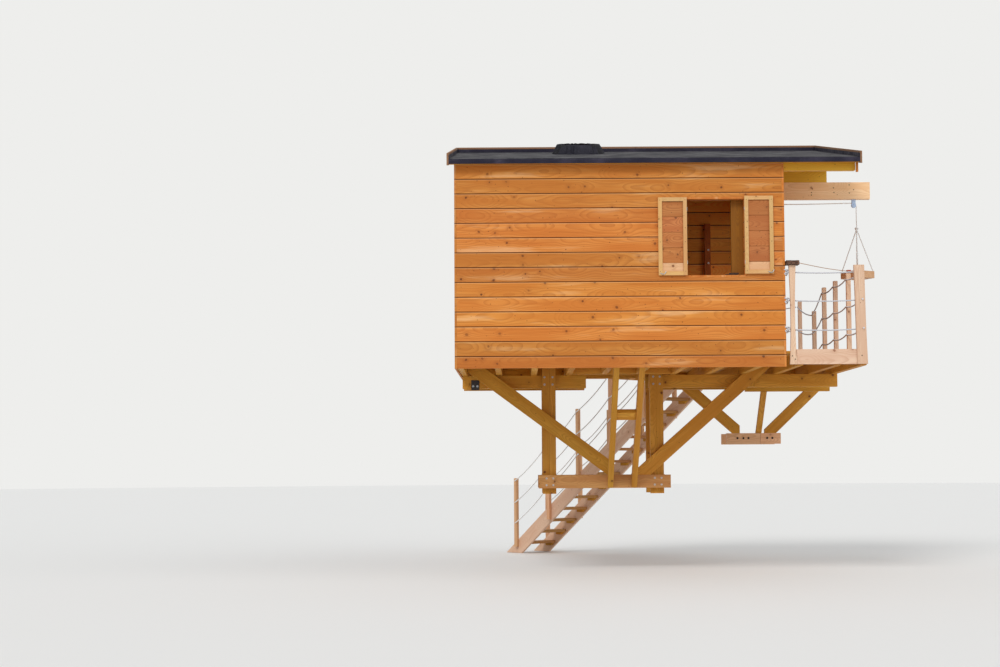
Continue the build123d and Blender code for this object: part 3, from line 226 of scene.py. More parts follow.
@dataclass(frozen=True)
class TimberFinish(Finish):
    """Sawn or planed softwood with growth rings, streaks and knots.

    The pattern reads each board's own ``grain`` attribute: metres along, across and through it,
    measured from the heart of the log that it was sawn from.
    """

    early: str
    late: str
    warm: str
    knot: str = "#5f2c0b"
    ring_mm: float = 11.0
    contrast: float = 0.62
    tone_spread: float = 0.08
    knot_share: float = 0.22
    # Sapwood colour, which is also the painted highlight on the edge under each joint
    sapwood_and_highlight: str = "#e6b482"
    sapwood: float = 0.0
    roughness: float = 0.56
    sheen: float = 0.25
    weathering: float = 0.0
    joint_z: bool = False
    joint_mm: float = 11.0

    def dress(self, tree: Tree, spot: Socket) -> dict:
        """Add the wood's nodes.

        Args:
            tree: The material's tree.
            spot: Place on the surface, in metres.

        Returns:
            The shader's inputs.
        """
        grain = add(tree, "ShaderNodeAttribute", attribute_name="grain").outputs["Vector"]
        tone = add(tree, "ShaderNodeAttribute", attribute_name="tone").outputs["Fac"]
        parts = add(tree, PART, (grain,)).outputs
        face = add(tree, PLUS, (parts[1], parts[2]))
        flat = add(tree, JOIN, (parts[0], face))
        # Branches: knots of 20 mm in cells of 200 mm, and pin knots of 7 mm in cells of 75 mm
        knots, halo = self._knots(tree, flat, 200.0, self.knot_share, (0.045, 0.04))
        pins, _ = self._knots(tree, flat, 75.0, self.knot_share * 0.8, (0.035, 0.05))
        swell = add(tree, TIMES, (halo, 4.0))
        # Growth rings round the heart; the heart wanders by 35 mm, which opens the flame figure
        far = add(tree, STRETCH, (grain, (1.5, 1.0, 1.0)))
        wander = add(tree, NOISE, {"Vector": far, "Scale": 1.0, "Detail": 1.0})
        drawn = add(tree, JOIN, {2: add(tree, RANGE, (wander, 0.3, 0.7, -0.035, 0.035))})
        slow = add(tree, SHIFT, {0: grain, 1: (0.12, 1.0, 1.0), 2: drawn})
        # A wave of scale 1 has a band every 314 mm
        rings = add(tree, "ShaderNodeTexWave",
                    {"Vector": slow, "Scale": 314.0 / self.ring_mm, "Distortion": 6.0, "Detail": 2.0,
                     "Detail Scale": 0.25, "Detail Roughness": 0.55, "Phase Offset": swell},
                    wave_type="RINGS", rings_direction="X", wave_profile="SAW").outputs["Fac"]
        fibre = add(tree, STRETCH, (grain, (1.6, 60.0, 60.0)))
        streaks = add(tree, NOISE, {"Vector": fibre, "Scale": 1.0, "Detail": 5.0})
        drift = add(tree, STRETCH, (grain, (0.9, 8.0, 8.0)))
        clouds = add(tree, NOISE, {"Vector": drift, "Scale": 1.0, "Detail": 4.0})
        dark = add(tree, TIMES, (halo, 0.3))
        # Late wood in rings, warm clouds, late streaks, sapwood where the cloud runs low, then knots
        colour = painted(tree, self.early, ((rings, 0.35, 1.0, 0.0, self.contrast), self.late),
                         ((clouds, 0.36, 0.62, 0.0, 0.8), self.warm),
                         ((streaks, 0.52, 0.8, 0.0, 0.45), self.late),
                         ((clouds, 0.28, 0.42, self.sapwood, 0.0), self.sapwood_and_highlight), (dark, self.late),
                         (knots, self.knot), (pins, self.knot))
        if self.weathering:
            colour = painted(tree, colour,
                             ((streaks, 0.35, 0.65, self.weathering, self.weathering / 3), "#7d756c"))
        if self.joint_z:
            colour = self._joints(tree, spot, colour)
        value = add(tree, RANGE, (tone, 0.0, 1.0, 1.0 - self.tone_spread, 1.0 + self.tone_spread))
        # The tone drawn a second time, for the hue, out of the first one's later digits
        again = add(tree, TIMES, (tone, 7.3))
        part = add(tree, FRACTION, (again,))
        hue = add(tree, RANGE, (part, 0.0, 1.0, 0.498, 0.506))
        relief = add(tree, PLUS, (rings, streaks))
        toned = add(tree, "ShaderNodeHueSaturation", {"Hue": hue, "Value": value, "Color": colour})
        return {"Base Color": toned,
                "Normal": add(tree, BUMP, {"Height": relief, "Strength": 0.3, "Distance": 0.0012}),
                "Roughness": add(tree, RANGE, (streaks, 0.3, 0.7, self.roughness - 0.08, self.roughness + 0.1)),
                "Specular IOR Level": self.sheen}

    def _knots(self, tree: Tree, flat: Node, cell_mm: float, share: float, size: Pair) -> tuple[Node, Node]:
        """Scatter knots over a board's face, at most one in a cell.

        Args:
            tree: The material's tree.
            flat: Place on the board's face, in metres.
            cell_mm: Size of a cell.
            share: Share of the cells that hold a knot.
            size: The smallest knot's radius and how much larger the largest is, as shares of the cell.

        Returns:
            The knot itself, and the bent grain round it.
        """
        waves = add(tree, NOISE, {"Vector": flat, "Scale": 3000.0 / cell_mm, "Detail": 1.0})
        bent = add(tree, SHIFT, {0: waves.outputs["Color"], 1: (0.1 * cell_mm / 1000,) * 3, 2: flat})
        cells = add(tree, "ShaderNodeTexVoronoi", {"Vector": bent, "Scale": 1000.0 / cell_mm},
                    voronoi_dimensions="2D")
        chance = add(tree, "ShaderNodeSeparateColor", {0: cells.outputs["Color"]}).outputs
        held = add(tree, UNDER, (chance[0], share))
        radius = add(tree, TIMES_PLUS, (chance[1], size[1], size[0]))
        nearness = add(tree, OVER, (cells, radius))
        depth = add(tree, TIMES_PLUS, (chance[2], 0.5, 0.42))
        dot = add(tree, TIMES, (add(tree, RANGE, (nearness, 0.6, 1.3, 1.0, 0.0)), depth))
        halo = add(tree, RANGE, (cells, 0.04, 0.34, 1.0, 0.0))
        return tuple(add(tree, TIMES, (part, held)) for part in (dot, halo))

    def _joints(self, tree: Tree, spot: Socket, colour: Node) -> Node:
        """Paint shade into the V-grooves between one board and the next, and paint a highlight on the edge
        under each.

        Args:
            tree: The material's tree.
            spot: Place on the surface.
            colour: The boards' colour.

        Returns:
            The colour with the joints in it.
        """
        height = add(tree, PART, (spot,)).outputs[2]
        pitch = BOARD_PITCH / 1000.0
        first = (FIRST_JOINT - HOUSE_ORIGIN.z) / 1000.0
        above = add(tree, MINUS, (height, first - pitch / 2))
        share = add(tree, OVER, (above, pitch))
        inside = add(tree, FRACTION, (share,))
        away = add(tree, MINUS, (inside, 0.5))
        half = self.joint_mm / 2 / BOARD_PITCH
        under = add(tree, PLUS, (away, half * 2.4))
        arris_highlight, groove_shade = (add(tree, SIZE_OF, (part,)) for part in (under, away))
        # Painted highlight on the edge under each joint, then painted shade in the joint itself
        return painted(tree, colour, ((arris_highlight, half * 0.3, half * 1.4, 0.35, 0.0), self.sapwood_and_highlight),
                       ((groove_shade, half * 0.6, half * 1.8, 0.92, 0.0), "#4a1c00"))


class Timber(Enum):
    """The timber finishes of the house, each named for its wood and its surface."""

    # Planed larch, oiled orange: satin, with flame-shaped rings and warm patches
    BOARDING = TimberFinish("oiled_larch_boarding", "#ce823a", "#9b521c", "#be6b25", ring_mm=17.0,
                            contrast=0.45, sapwood=0.45, knot_share=0.3, tone_spread=0.11, joint_z=True,
                            joint_mm=9.0)
    # Sawn larch frame timber, oiled: browner and rougher than the boards
    FRAME = TimberFinish("oiled_larch_frame", "#cf9438", "#966018", "#ba7b24", contrast=0.42, roughness=0.62)
    # Clamped collar beams and stair treads: the same timber, duller and pinker; on the treads this darker
    # finish is painted shade on their shadowed edges
    COLLAR = TimberFinish("dried_larch_collar", "#bd8a52", "#916032", "#ab7442", contrast=0.45, roughness=0.64)
    # Fresh spruce under the roof: yellow, with fine rings
    YELLOW = TimberFinish("fresh_spruce", "#dbab38", "#b5821c", "#cf9a2a", ring_mm=8.0, contrast=0.5)
    # Light spruce strips round the shutters
    STRIP = TimberFinish("pale_spruce_strip", "#d9ad75", "#bf8a50", "#cf9b60", ring_mm=8.0, contrast=0.4)
    # Planed larch, pinkish and light: a brighter copy with painted sunlight, for parts that stand in the sun
    PALE = TimberFinish("sun_bleached_larch", "#e6c4a8", "#c39273", "#d8ae91", contrast=0.5, knot="#8a5638")
    # Posts of the stair, tray and lowest shutter boards: tan and half bleached; on the second collars under the
    # deck this paler finish is painted light
    STEP = TimberFinish("tan_larch_stair", "#e2b28a", "#b5805a", "#cf9b72", contrast=0.5, knot="#7d4c2e")
    # The hoist's beam: planed and warm, a brighter copy with painted sunlight on its front face
    BEAM = TimberFinish("planed_larch_beam", "#f4cba2", "#d39d70", "#e8b688", contrast=0.5, knot="#8a5638")
    # Reddish dry boards inside the shutters, full of knots
    PANEL = TimberFinish("reddish_larch_panel", "#bd7743", "#935026", "#ad6433", knot_share=0.75,
                         knot="#4a2412")
    # Boards of the room, redder and deeper than outside, with painted shade in every joint and a painted
    # highlight under it
    ROOM = TimberFinish("dry_larch_lining", "#ffa648", "#dd7a26", "#f59236", tone_spread=0.16, joint_z=True)
    # The post inside the room: dark reddish brown
    STUD = TimberFinish("dark_larch_stud", "#c46430", "#8e4018", "#ae5222")
    # The deep lining board at the window's right: amber
    AMBER = TimberFinish("amber_larch_lining", "#98600c", "#744404", "#885208")
    # Edge boards of the roof: old sawn timber gone grey brown
    WORN = TimberFinish("weathered_larch", "#9a6c48", "#66432a", "#875a38", weathering=0.3, roughness=0.75)


@dataclass(frozen=True)
class RopeFinish(Finish):
    """Three-strand rope: matt fibres, with painted shade where the strands meet."""

    crown: str
    groove_shade: str

    def dress(self, tree: Tree, spot: Socket) -> dict:
        """Add the rope's nodes.

        Args:
            tree: The material's tree.
            spot: Place on the surface, in metres.

        Returns:
            The shader's inputs.
        """
        strand = add(tree, "ShaderNodeAttribute", attribute_name="strand").outputs["Fac"]
        # The fibres are drawn 2.4 mm wide, coarser than they are, so that they show
        fibre = add(tree, NOISE, {"Vector": spot, "Scale": 420.0, "Detail": 2.0})
        # Painted shade in the hollows where the strands meet
        colour = painted(tree, self.groove_shade, ((strand, -0.9, 0.6, 0.0, 1.0), self.crown))
        shade = add(tree, RANGE, (fibre, 0.3, 0.7, 0.86, 1.08))
        return {"Base Color": add(tree, "ShaderNodeHueSaturation", {"Value": shade, "Color": colour}),
                "Normal": add(tree, BUMP, {"Height": fibre, "Strength": 0.4, "Distance": 0.001}),
                "Roughness": 0.85}


@dataclass(frozen=True)
class MetalFinish(Finish):
    """Small ironwork: zinc, paint or bare steel with a mottled surface."""

    base: str
    mottle: str
    metallic: float
    roughness: float
    grain_mm: float = 8.0

    def dress(self, tree: Tree, spot: Socket) -> dict:
        """Add the metal's nodes.

        Args:
            tree: The material's tree.
            spot: Place on the surface, in metres.

        Returns:
            The shader's inputs.
        """
        flakes = add(tree, NOISE, {"Vector": spot, "Scale": 1000.0 / self.grain_mm, "Detail": 3.0})
        return {"Base Color": painted(tree, self.base, ((flakes, 0.35, 0.65, 0.0, 1.0), self.mottle)),
                "Roughness": add(tree, RANGE, (flakes, 0.3, 0.7, self.roughness - 0.07, self.roughness + 0.1)),
                "Metallic": self.metallic}


@dataclass(frozen=True)
class SheetFinish(Finish):
    """Mineral roofing felt: matt, granular, creased, with laps between the strips, and painted shade on the
    faces that look up.
    """

    base: str
    light: str
    lap_m: float = 0.95
    creases: float = 0.45

    def dress(self, tree: Tree, spot: Socket) -> dict:
        """Add the felt's nodes.

        Args:
            tree: The material's tree.
            spot: Place on the surface, in metres.

        Returns:
            The shader's inputs.
        """
        # Slate granules of 2 mm are drawn at 11 mm, so that they show
        grit = add(tree, NOISE, {"Vector": spot, "Scale": 90.0, "Detail": 3.0})
        long = add(tree, STRETCH, (spot, (2.2, 3.2, 3.2)))
        folds = add(tree, NOISE, {"Vector": long, "Scale": 1.6, "Detail": 4.0, "Distortion": 1.2})
        dust = add(tree, NOISE, {"Vector": spot, "Scale": 3.2, "Detail": 5.0, "Roughness": 0.65})
        depth = add(tree, PART, (spot,)).outputs[1]
        strip = add(tree, OVER, (depth, self.lap_m))
        along = add(tree, FRACTION, (strip,))
        normal = add(tree, "ShaderNodeNewGeometry").outputs["Normal"]
        upward = add(tree, PART, (normal,)).outputs[2]
        # Granules, dust, the laps' dark edges, and painted shade: a darker tone where the felt faces the sky
        colour = painted(tree, self.base, ((grit, 0.4, 0.7, 0.0, 0.55), self.light),
                         ((dust, 0.5, 0.72, 0.0, 0.5), "#3c3648"), ((along, 0.0, 0.03, 1.0, 0.0), "#17161b"),
                         ((upward, 0.3, 0.9, 0.0, 0.75), "#100f16"))
        fine = add(tree, BUMP, {"Height": grit, "Strength": 0.35, "Distance": 0.002})
        return {"Base Color": colour,
                "Roughness": add(tree, RANGE, (dust, 0.35, 0.65, 0.75, 0.5)), "Specular IOR Level": 0.22,
                "Normal": add(tree, BUMP, {"Height": folds, "Strength": self.creases, "Distance": 0.04,
                                           "Normal": fine})}


@dataclass(frozen=True)
class BarkFinish(Finish):
    """Rough bark on a slice of log: dark plates, with painted shade in the cracks between them."""

    def dress(self, tree: Tree, spot: Socket) -> dict:
        """Add the bark's nodes.

        Args:
            tree: The material's tree.
            spot: Place on the surface, in metres.

        Returns:
            The shader's inputs.
        """
        long = add(tree, STRETCH, (spot, (14.0, 45.0, 45.0)))
        plates = add(tree, "ShaderNodeTexVoronoi", {"Vector": long, "Scale": 1.0}, feature="DISTANCE_TO_EDGE")
        crust = add(tree, NOISE, {"Vector": spot, "Scale": 60.0, "Detail": 5.0})
        colour = add(tree, "ShaderNodeValToRGB", {0: crust},
                     stops=((0.3, "#3a261b"), (0.55, "#6a4937"), (0.75, "#a07b62")))
        # The plates' edges darkened: painted shade in the cracks
        return {"Base Color": painted(tree, colour, ((plates, 0.0, 0.12, 0.8, 0.0), "#1a110c")),
                "Normal": add(tree, BUMP, {"Height": plates, "Strength": 0.8, "Distance": 0.008}),
                "Roughness": 0.9}


@dataclass(frozen=True)
class FloorFinish(Finish):
    """Matt pale paint, the same all over."""

    colour: str

    def dress(self, tree: Tree, spot: Socket) -> dict:
        """Return the shader's inputs; the paint has no nodes of its own."""
        return {"Base Color": self.colour, "Roughness": 0.9}


SIDE_ROPE = RopeFinish("weathered_hemp_rope", "#e2e3e8", "#b6b5bb")
STAIR_ROPE = RopeFinish("white_braided_rope", "#ffffff", "#dedbd4")
HOIST_ROPE = RopeFinish("natural_hemp_rope", "#ffffff", "#f8f4ec")
TWINE = RopeFinish("brown_twine", "#c39b78", "#8a6649")
# Galvanised hooks and bolts; the white and the dull ones have lost their mirror
ZINC = MetalFinish("hot_dip_zinc", "#c4c9ce", "#9ea5ab", 0.9, 0.38)
WHITE_ZINC = MetalFinish("white_zinc_heads", "#f6efe9", "#dcd4cc", 0.1, 0.45)
DULL_ZINC = MetalFinish("weathered_zinc", "#c9bfb4", "#a0948a", 0.15, 0.5)
DARK_SCREW = MetalFinish("burnished_screw", "#3b2f28", "#241b16", 0.7, 0.5)
BLACK_PLATE = MetalFinish("black_painted_steel", "#1d1c1e", "#2b292b", 0.0, 0.5)
BRONZED = MetalFinish("bronzed_latch", "#3d2410", "#27150a", 0.0, 0.85)
BLUE_PAINT = MetalFinish("worn_blue_paint", "#c6d8ef", "#9db7da", 0.2, 0.42)
RED_PAINT = MetalFinish("red_painted_wood", "#c8402f", "#a93324", 0.0, 0.45)
# Slate felt and a black rubber sleeve; the sleeve is one strip, so its lap lies outside it
FELT = SheetFinish("slate_felt", "#171423", "#2e2a3f")
SLEEVE = SheetFinish("rubber_sleeve", "#191822", "#2c2a38", lap_m=9.0, creases=0.9)
BARK = BarkFinish("rough_bark")


def linked(name: str, data: bpy.types.ID) -> Piece:
    """Link a new object to the scene.

    Args:
        name: Its name.
        data: The mesh, curve, lamp or camera that it holds.

    Returns:
        The object.
    """
    piece = bpy.data.objects.new(name, data)
    bpy.context.scene.collection.objects.link(piece)
    return piece


def mesh_of(shape: Shape, name: str) -> bpy.types.Mesh:
    """Turn a bmesh into a mesh.

    Args:
        shape: The bmesh, which is freed.
        name: The mesh's name.

    Returns:
        The mesh.
    """
    mesh = bpy.data.meshes.new(name)
    shape.to_mesh(mesh)
    shape.free()
    return mesh


def shape_of(node: str, flat: bool = True) -> Shape:
    """Copy a CAD node's mesh and merge its loose triangles.

    Args:
        node: The node.
        flat: Whether the triangles of one plane become one face.

    Returns:
        The merged copy.
    """
    shape = bmesh.new()
    shape.from_mesh(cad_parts[node].data)
    bmesh.ops.remove_doubles(shape, verts=shape.verts, dist=MERGE_DISTANCE)
    if flat:
        bmesh.ops.dissolve_limit(shape, angle_limit=FLAT_ANGLE, verts=shape.verts, edges=shape.edges)
    return shape


def finished(piece: Piece) -> Piece:
    """Turn a piece and its modifiers into one plain mesh at the origin.

    Args:
        piece: An object with live modifiers or a curve.

    Returns:
        The same object, or a mesh object in its place.
    """
    depsgraph = bpy.context.evaluated_depsgraph_get()
    depsgraph.update()
    mesh = bpy.data.meshes.new_from_object(piece.evaluated_get(depsgraph))
    if piece.type == "MESH":
        piece.modifiers.clear()
        piece.data = mesh
        return piece
    name = piece.name
    bpy.data.objects.remove(piece)
    return linked(name, mesh)


def rides(piece: Piece, slot: str, *nodes: str) -> Piece:
    """Fix a piece to the house, in place of the nodes it stands for.

    Args:
        piece: The finished piece.
        slot: The record's material slot; not used.
        *nodes: The CAD nodes that it replaces, if any.

    Returns:
        The piece.
    """
    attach(piece, "root")
    if nodes:
        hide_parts(*nodes)
    return piece


def softened(name: str, shape: Shape, finish: Finish | Timber, bevel: float, slot: str, *nodes: str) -> Piece:
    """Finish a built shape with worn edges, and with a grain of its own on each board of timber.

    Args:
        name: The piece's name.
        shape: Its mesh, which is freed.
        finish: Its finish.
        bevel: Edge radius, in millimetres; 0 leaves the edges as they are.
        slot: The record's material slot.
        *nodes: The CAD nodes that it replaces.

    Returns:
        The finished piece.
    """
    if isinstance(finish, Timber):
        mark_boards(shape, name.removesuffix("_timber"))
        finish = finish.value
    piece = linked(name, mesh_of(shape, name))
    if bevel:
        edge = piece.modifiers.new("worn_edges", "BEVEL")
        edge.width = bevel / 1000.0
        edge.segments = 2
        edge.limit_method = "ANGLE"
        edge.angle_limit = CREASE_ANGLE
    finished(piece)
    piece.data.materials.append(finish.material())
    return rides(piece, slot, *nodes)


def reshaped(node: str, name: str, cuts: int, move: Callable[[Vector], Vector], finish: Finish) -> Piece:
    """Replace a CAD node by a finer copy whose points are moved a little.

    Args:
        node: The node.
        name: The new piece's name.
        cuts: How often each edge is divided.
        move: Gives the new place of a point.
        finish: The finish.

    Returns:
        The finished piece.
    """
    shape = shape_of(node, flat=False)
    bmesh.ops.subdivide_edges(shape, edges=shape.edges[:], cuts=cuts, use_grid_fill=True)
    for v in shape.verts:
        v.co = move(v.co)
    bmesh.ops.recalc_face_normals(shape, faces=shape.faces[:])
    piece = softened(name, shape, finish, 0.0, node, node)
    piece.data.shade_smooth()
    return piece


def coated(piece: Piece, finish: Finish, covers: Callable[[bpy.types.MeshPolygon], bool]) -> Piece:
    """Give some faces of a piece a second finish.

    Args:
        piece: The piece.
        finish: The second finish.
        covers: Tells whether it covers a face.

    Returns:
        The piece.
    """
    piece.data.materials.append(finish.material())
    for face in piece.data.polygons:
        face.material_index = int(covers(face))
    return piece


def repainted(node: str, finish: Finish) -> Piece:
    """Give a CAD node that keeps its shape a finish of its own.

    Args:
        node: The node.
        finish: Its finish.

    Returns:
        The node's object.
    """
    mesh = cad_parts[node].data
    for i in range(len(mesh.materials)):
        mesh.materials[i] = finish.material()
    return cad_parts[node]


def box_boards(*boards: Box) -> Shape:
    """Build squared boards.

    Args:
        *boards: Left and right, front and back, lower and upper faces of each, in the house's measure.

    Returns:
        Their mesh.
    """
    shape = bmesh.new()
    for faces in boards:
        low, high = (place(*ends) for ends in zip(*faces))
        for v in bmesh.ops.create_cube(shape, size=1.0)["verts"]:
            v.co = Vector([low[i] if v.co[i] < 0 else high[i] for i in range(3)])
    return shape


def boards_of(shape: Shape) -> list[list[bmesh.types.BMVert]]:
    """Split a mesh into its separate boards.

    Args:
        shape: The mesh.

    Returns:
        The corner points of each board.
    """
    seen: set[bmesh.types.BMVert] = set()
    boards = []
    for start in shape.verts:
        if start in seen or not start.link_faces:
            continue
        board, waiting = [], [start]
        seen.add(start)
        while waiting:
            here = waiting.pop()
            board.append(here)
            for edge in here.link_edges:
                other = edge.other_vert(here)
                if other not in seen:
                    seen.add(other)
                    waiting.append(other)
        boards.append(board)
    return boards


def board_axes(board: list[bmesh.types.BMVert]) -> tuple[Vector, Vector, Vector]:
    """Find how a board lies: its longest edge gives the grain, its widest face the rest.

    Args:
        board: The board's corner points.

    Returns:
        Unit vectors along, across and through the board.
    """
    # Kept in order and rounded, so that equal edges and faces give the same choice in each run
    edges = dict.fromkeys(edge for v in board for edge in v.link_edges)
    longest = max(edges, key=lambda edge: round(edge.calc_length(), 4))
    length = (longest.verts[1].co - longest.verts[0].co).normalized()
    faces = dict.fromkeys(face for v in board for face in v.link_faces)
    lying = [face for face in faces if abs(face.normal.dot(length)) < 0.3]
    widest = max(lying, key=lambda face: round(face.calc_area(), 5))
    through = (widest.normal - length * widest.normal.dot(length)).normalized()
    return length, through.cross(length), through


def mark_boards(shape: Shape, seed: str) -> None:
    """Write each board's grain coordinates and tone as attributes.

    Args:
        shape: The boards.
        seed: Starts the draws of where each board lay in its log.
    """
    grain = shape.verts.layers.float_vector.new("grain")
    tone = shape.verts.layers.float.new("tone")
    chance = random.Random(seed)
    for board in boards_of(shape):
        length, across, through = board_axes(board)
        middle = sum((v.co for v in board), Vector()) / len(board)
        half = max(abs((v.co - middle).dot(across)) for v in board)
        heart = Vector((chance.uniform(0, 40), chance.uniform(-0.9, 0.9) * half,
                        chance.choice((-1, 1)) * (0.02 + chance.uniform(0.5, 1.3) * half)))
        shade = chance.random()
        for v in board:
            rest = v.co - middle
            v[grain] = heart + Vector((rest.dot(length), rest.dot(across), rest.dot(through)))
            v[tone] = shade


def part_boards(shape: Shape, axis: int, first: float, pitch: float) -> None:
    """Part a solid at every board joint, so that each board gets its own grain.

    Args:
        shape: The mesh.
        axis: 0, 1 or 2 for X, Y or Z.
        first: The first joint in the house's measure.
        pitch: Distance from joint to joint.
    """
    low, high = (pick(v.co[axis] for v in shape.verts) for pick in (min, max))
    normal = Vector([1.0 if i == axis else 0.0 for i in range(3)])
    for step in count():
        joint = (first + step * pitch - HOUSE_ORIGIN[axis]) / 1000.0
        if joint >= high:
            return
        if joint > low:
            everything = shape.verts[:] + shape.edges[:] + shape.faces[:]
            made = bmesh.ops.bisect_plane(shape, geom=everything, plane_co=normal * joint, plane_no=normal)
            seam = [part for part in made["geom_cut"] if isinstance(part, bmesh.types.BMEdge)]
            bmesh.ops.split_edges(shape, edges=seam)


def dressed(node: str, timber: Timber, bevel: float = 3.0, cuts: tuple | None = None) -> Piece:
    """Dress a CAD node as separate boards or squared timbers, and put the piece in its place.

    Args:
        node: The node.
        timber: Its finish.
        bevel: How far the saw-sharp edges are worn, in millimetres.
        cuts: Axis, first joint and pitch where a solid is drawn as boards.

    Returns:
        The dressed piece.
    """
    shape = shape_of(node)
    if cuts:
        part_boards(shape, *cuts)
    return softened(f"{node}_timber", shape, timber, bevel, node, node)


def grown(piece: Piece, name: str, sockets: dict[str, object], draw: Callable[[Tree, dict], Node]) -> Piece:
    """Run a Geometry Nodes tree on a piece and keep the result as a plain mesh.

    Args:
        piece: The points or the curve that the tree works on.
        name: The tree's name; it is drawn once.
        sockets: The value of each named input for this piece.
        draw: Draws the tree from its input node's outputs, and returns the last node of the shape.

    Returns:
        The finished mesh object.
    """
    tree = bpy.data.node_groups.get(name)
    if not tree:
        tree = bpy.data.node_groups.new(name, "GeometryNodeTree")
        tree.interface.new_socket("Geometry", in_out="INPUT", socket_type="NodeSocketGeometry")
        for socket, value in sockets.items():
            tree.interface.new_socket(socket, in_out="INPUT", socket_type=SOCKETS[type(value)])
        tree.interface.new_socket("Geometry", in_out="OUTPUT", socket_type="NodeSocketGeometry")
        given = tree.nodes.new("NodeGroupInput").outputs
        whole = add(tree, "GeometryNodeRealizeInstances", {"Geometry": draw(tree, given)})
        coloured = add(tree, "GeometryNodeSetMaterial", {"Geometry": whole, "Material": given["Finish"]})
        add(tree, "NodeGroupOutput", {0: coloured})
    modifier = piece.modifiers.new("grown", "NODES")
    modifier.node_group = tree
    for item in tree.interface.items_tree:
        if item.in_out == "INPUT" and item.name in sockets:
            modifier[item.identifier] = sockets[item.name]
    return finished(piece)


def draw_rope(tree: Tree, given: dict) -> Node:
    """Draw the tree that lays strands round a curve.

    Args:
        tree: The tree.
        given: Its inputs.

    Returns:
        The node that gives the rope.
    """
    evenly = add(tree, "GeometryNodeResampleCurve", {"Curve": given["Geometry"], "Length": given["Step"]},
                 mode="LENGTH")
    along = add(tree, "GeometryNodeSplineParameter").outputs["Length"]
    turns = add(tree, OVER, (along, given["Lay"]))
    angle = add(tree, TIMES, (turns, math.tau))
    twisted = add(tree, "GeometryNodeSetCurveTilt", {"Curve": evenly, "Tilt": angle})
    radius = add(tree, TIMES, (given["Diameter"], STRAND_RADIUS))
    ring = add(tree, "GeometryNodeCurvePrimitiveCircle", {"Resolution": 12, "Radius": radius})
    spot = add(tree, "GeometryNodeInputPosition")
    flat = add(tree, PART, (spot,)).outputs
    turn = add(tree, ANGLE_OF, (flat[1], flat[0]))
    lobes = add(tree, TIMES, (turn, given["Strands"]))
    wave = add(tree, COSINE, (lobes,))
    swell = add(tree, TIMES_PLUS, (wave, STRAND_RELIEF, 1.0))
    marked = add(tree, "GeometryNodeStoreNamedAttribute", {"Geometry": ring, "Name": "strand", "Value": wave},
                 data_type="FLOAT")
    outline = add(tree, SCALE, {0: spot, "Scale": swell})
    strands = add(tree, "GeometryNodeSetPosition", {"Geometry": marked, "Position": outline})
    body = add(tree, "GeometryNodeCurveToMesh", {"Curve": twisted, "Profile Curve": strands, "Fill Caps": True})
    return add(tree, "GeometryNodeSetShadeSmooth", {"Geometry": body})


def draw_fasteners(tree: Tree, given: dict) -> Node:
    """Draw the tree that sets a head and a washer on every marked point.

    Args:
        tree: The tree.
        given: Its inputs.

    Returns:
        The node that gives the heads.
    """
    head = add(tree, "GeometryNodeMeshCylinder", {"Vertices": given["Sides"], "Radius": given["Head Radius"],
                                                  "Depth": given["Head Height"]})
    half = add(tree, TIMES, (given["Head Height"], 0.5))
    seat = add(tree, PLUS, (half, given["Washer Height"]))
    raised = add(tree, "GeometryNodeTransform", {"Geometry": head, "Translation": add(tree, JOIN, {2: seat})})
    washer = add(tree, "GeometryNodeMeshCylinder", {"Vertices": 20, "Radius": given["Washer Radius"],
                                                    "Depth": given["Washer Height"]})
    both = add(tree, "GeometryNodeJoinGeometry", {0: raised})
    feed(tree, both, {0: washer})
    facing = add(tree, "GeometryNodeInputNamedAttribute", {"Name": "facing"}, data_type="FLOAT_VECTOR")
    turned = add(tree, "FunctionNodeAlignRotationToVector", {"Vector": facing}, axis="Z")
    return add(tree, "GeometryNodeInstanceOnPoints",
               {"Points": given["Geometry"], "Instance": both, "Rotation": turned})


@dataclass(frozen=True)
class Fastener:
    """Sizes of a screw or bolt head with its washer, in millimetres."""

    head: float
    height: float
    washer: float
    washer_height: float
    sides: int = 6

    def set_on(self, name: str, slot: str, spots: Sequence[Spot], finish: MetalFinish) -> Piece:
        """Set one such head on every spot of a surface that looks to the front.

        Args:
            name: The piece's name.
            slot: The record's material slot.
            spots: Points on the surface, in the house's measure.
            finish: Their metal.

        Returns:
            The finished piece.
        """
        mesh = bpy.data.meshes.new(name)
        mesh.from_pydata([place(*spot) for spot in spots], [], [])
        look = mesh.attributes.new("facing", "FLOAT_VECTOR", "POINT")
        look.data.foreach_set("vector", FRONTWARD * len(spots))
        sockets = {"Head Radius": self.head / 2000, "Head Height": self.height / 1000,
                   "Washer Radius": self.washer / 2000, "Washer Height": self.washer_height / 1000,
                   "Sides": self.sides, "Finish": finish.material()}
        return rides(grown(linked(name, mesh), "fastener_heads", sockets, draw_fasteners), slot)


HEX_BOLT = Fastener(19, 9, 30, 3)
SMALL_SCREW = Fastener(6, 1.0, 8, 0.6, 10)
SCREW = Fastener(11, 1.5, 14, 1, 12)


def turned(middle: Pair, x: float, y: float, degrees: float) -> Pair:
    """Take a step from a point, in a direction turned in plan.

    Args:
        middle: The point, in the house's measure.
        x: The step to the right before the turn, in millimetres.
        y: The step back before the turn.
        degrees: The turn, counterclockwise from above.

    Returns:
        Where the step ends, in the house's measure.
    """
    turn = math.radians(degrees)
    return (middle[0] + x * math.cos(turn) - y * math.sin(turn),
            middle[1] + x * math.sin(turn) + y * math.cos(turn))


def hanging(holds: list[Spot], sag: float) -> Line:
    """Follow a rope that hangs a little between its holds.

    Args:
        holds: Where it is held, in the house's measure.
        sag: How far it hangs in each span, in millimetres.

    Returns:
        Its middle line, in metres.
    """
    made = [place(*holds[0])]
    for here, after in zip(holds, holds[1:]):
        for i in range(1, SPAN_POINTS + 1):
            t = i / SPAN_POINTS
            x, y, z = (a + (b - a) * t for a, b in zip(here, after))
            made.append(place(x, y, z - 4 * sag * t * (1 - t)))
    return made


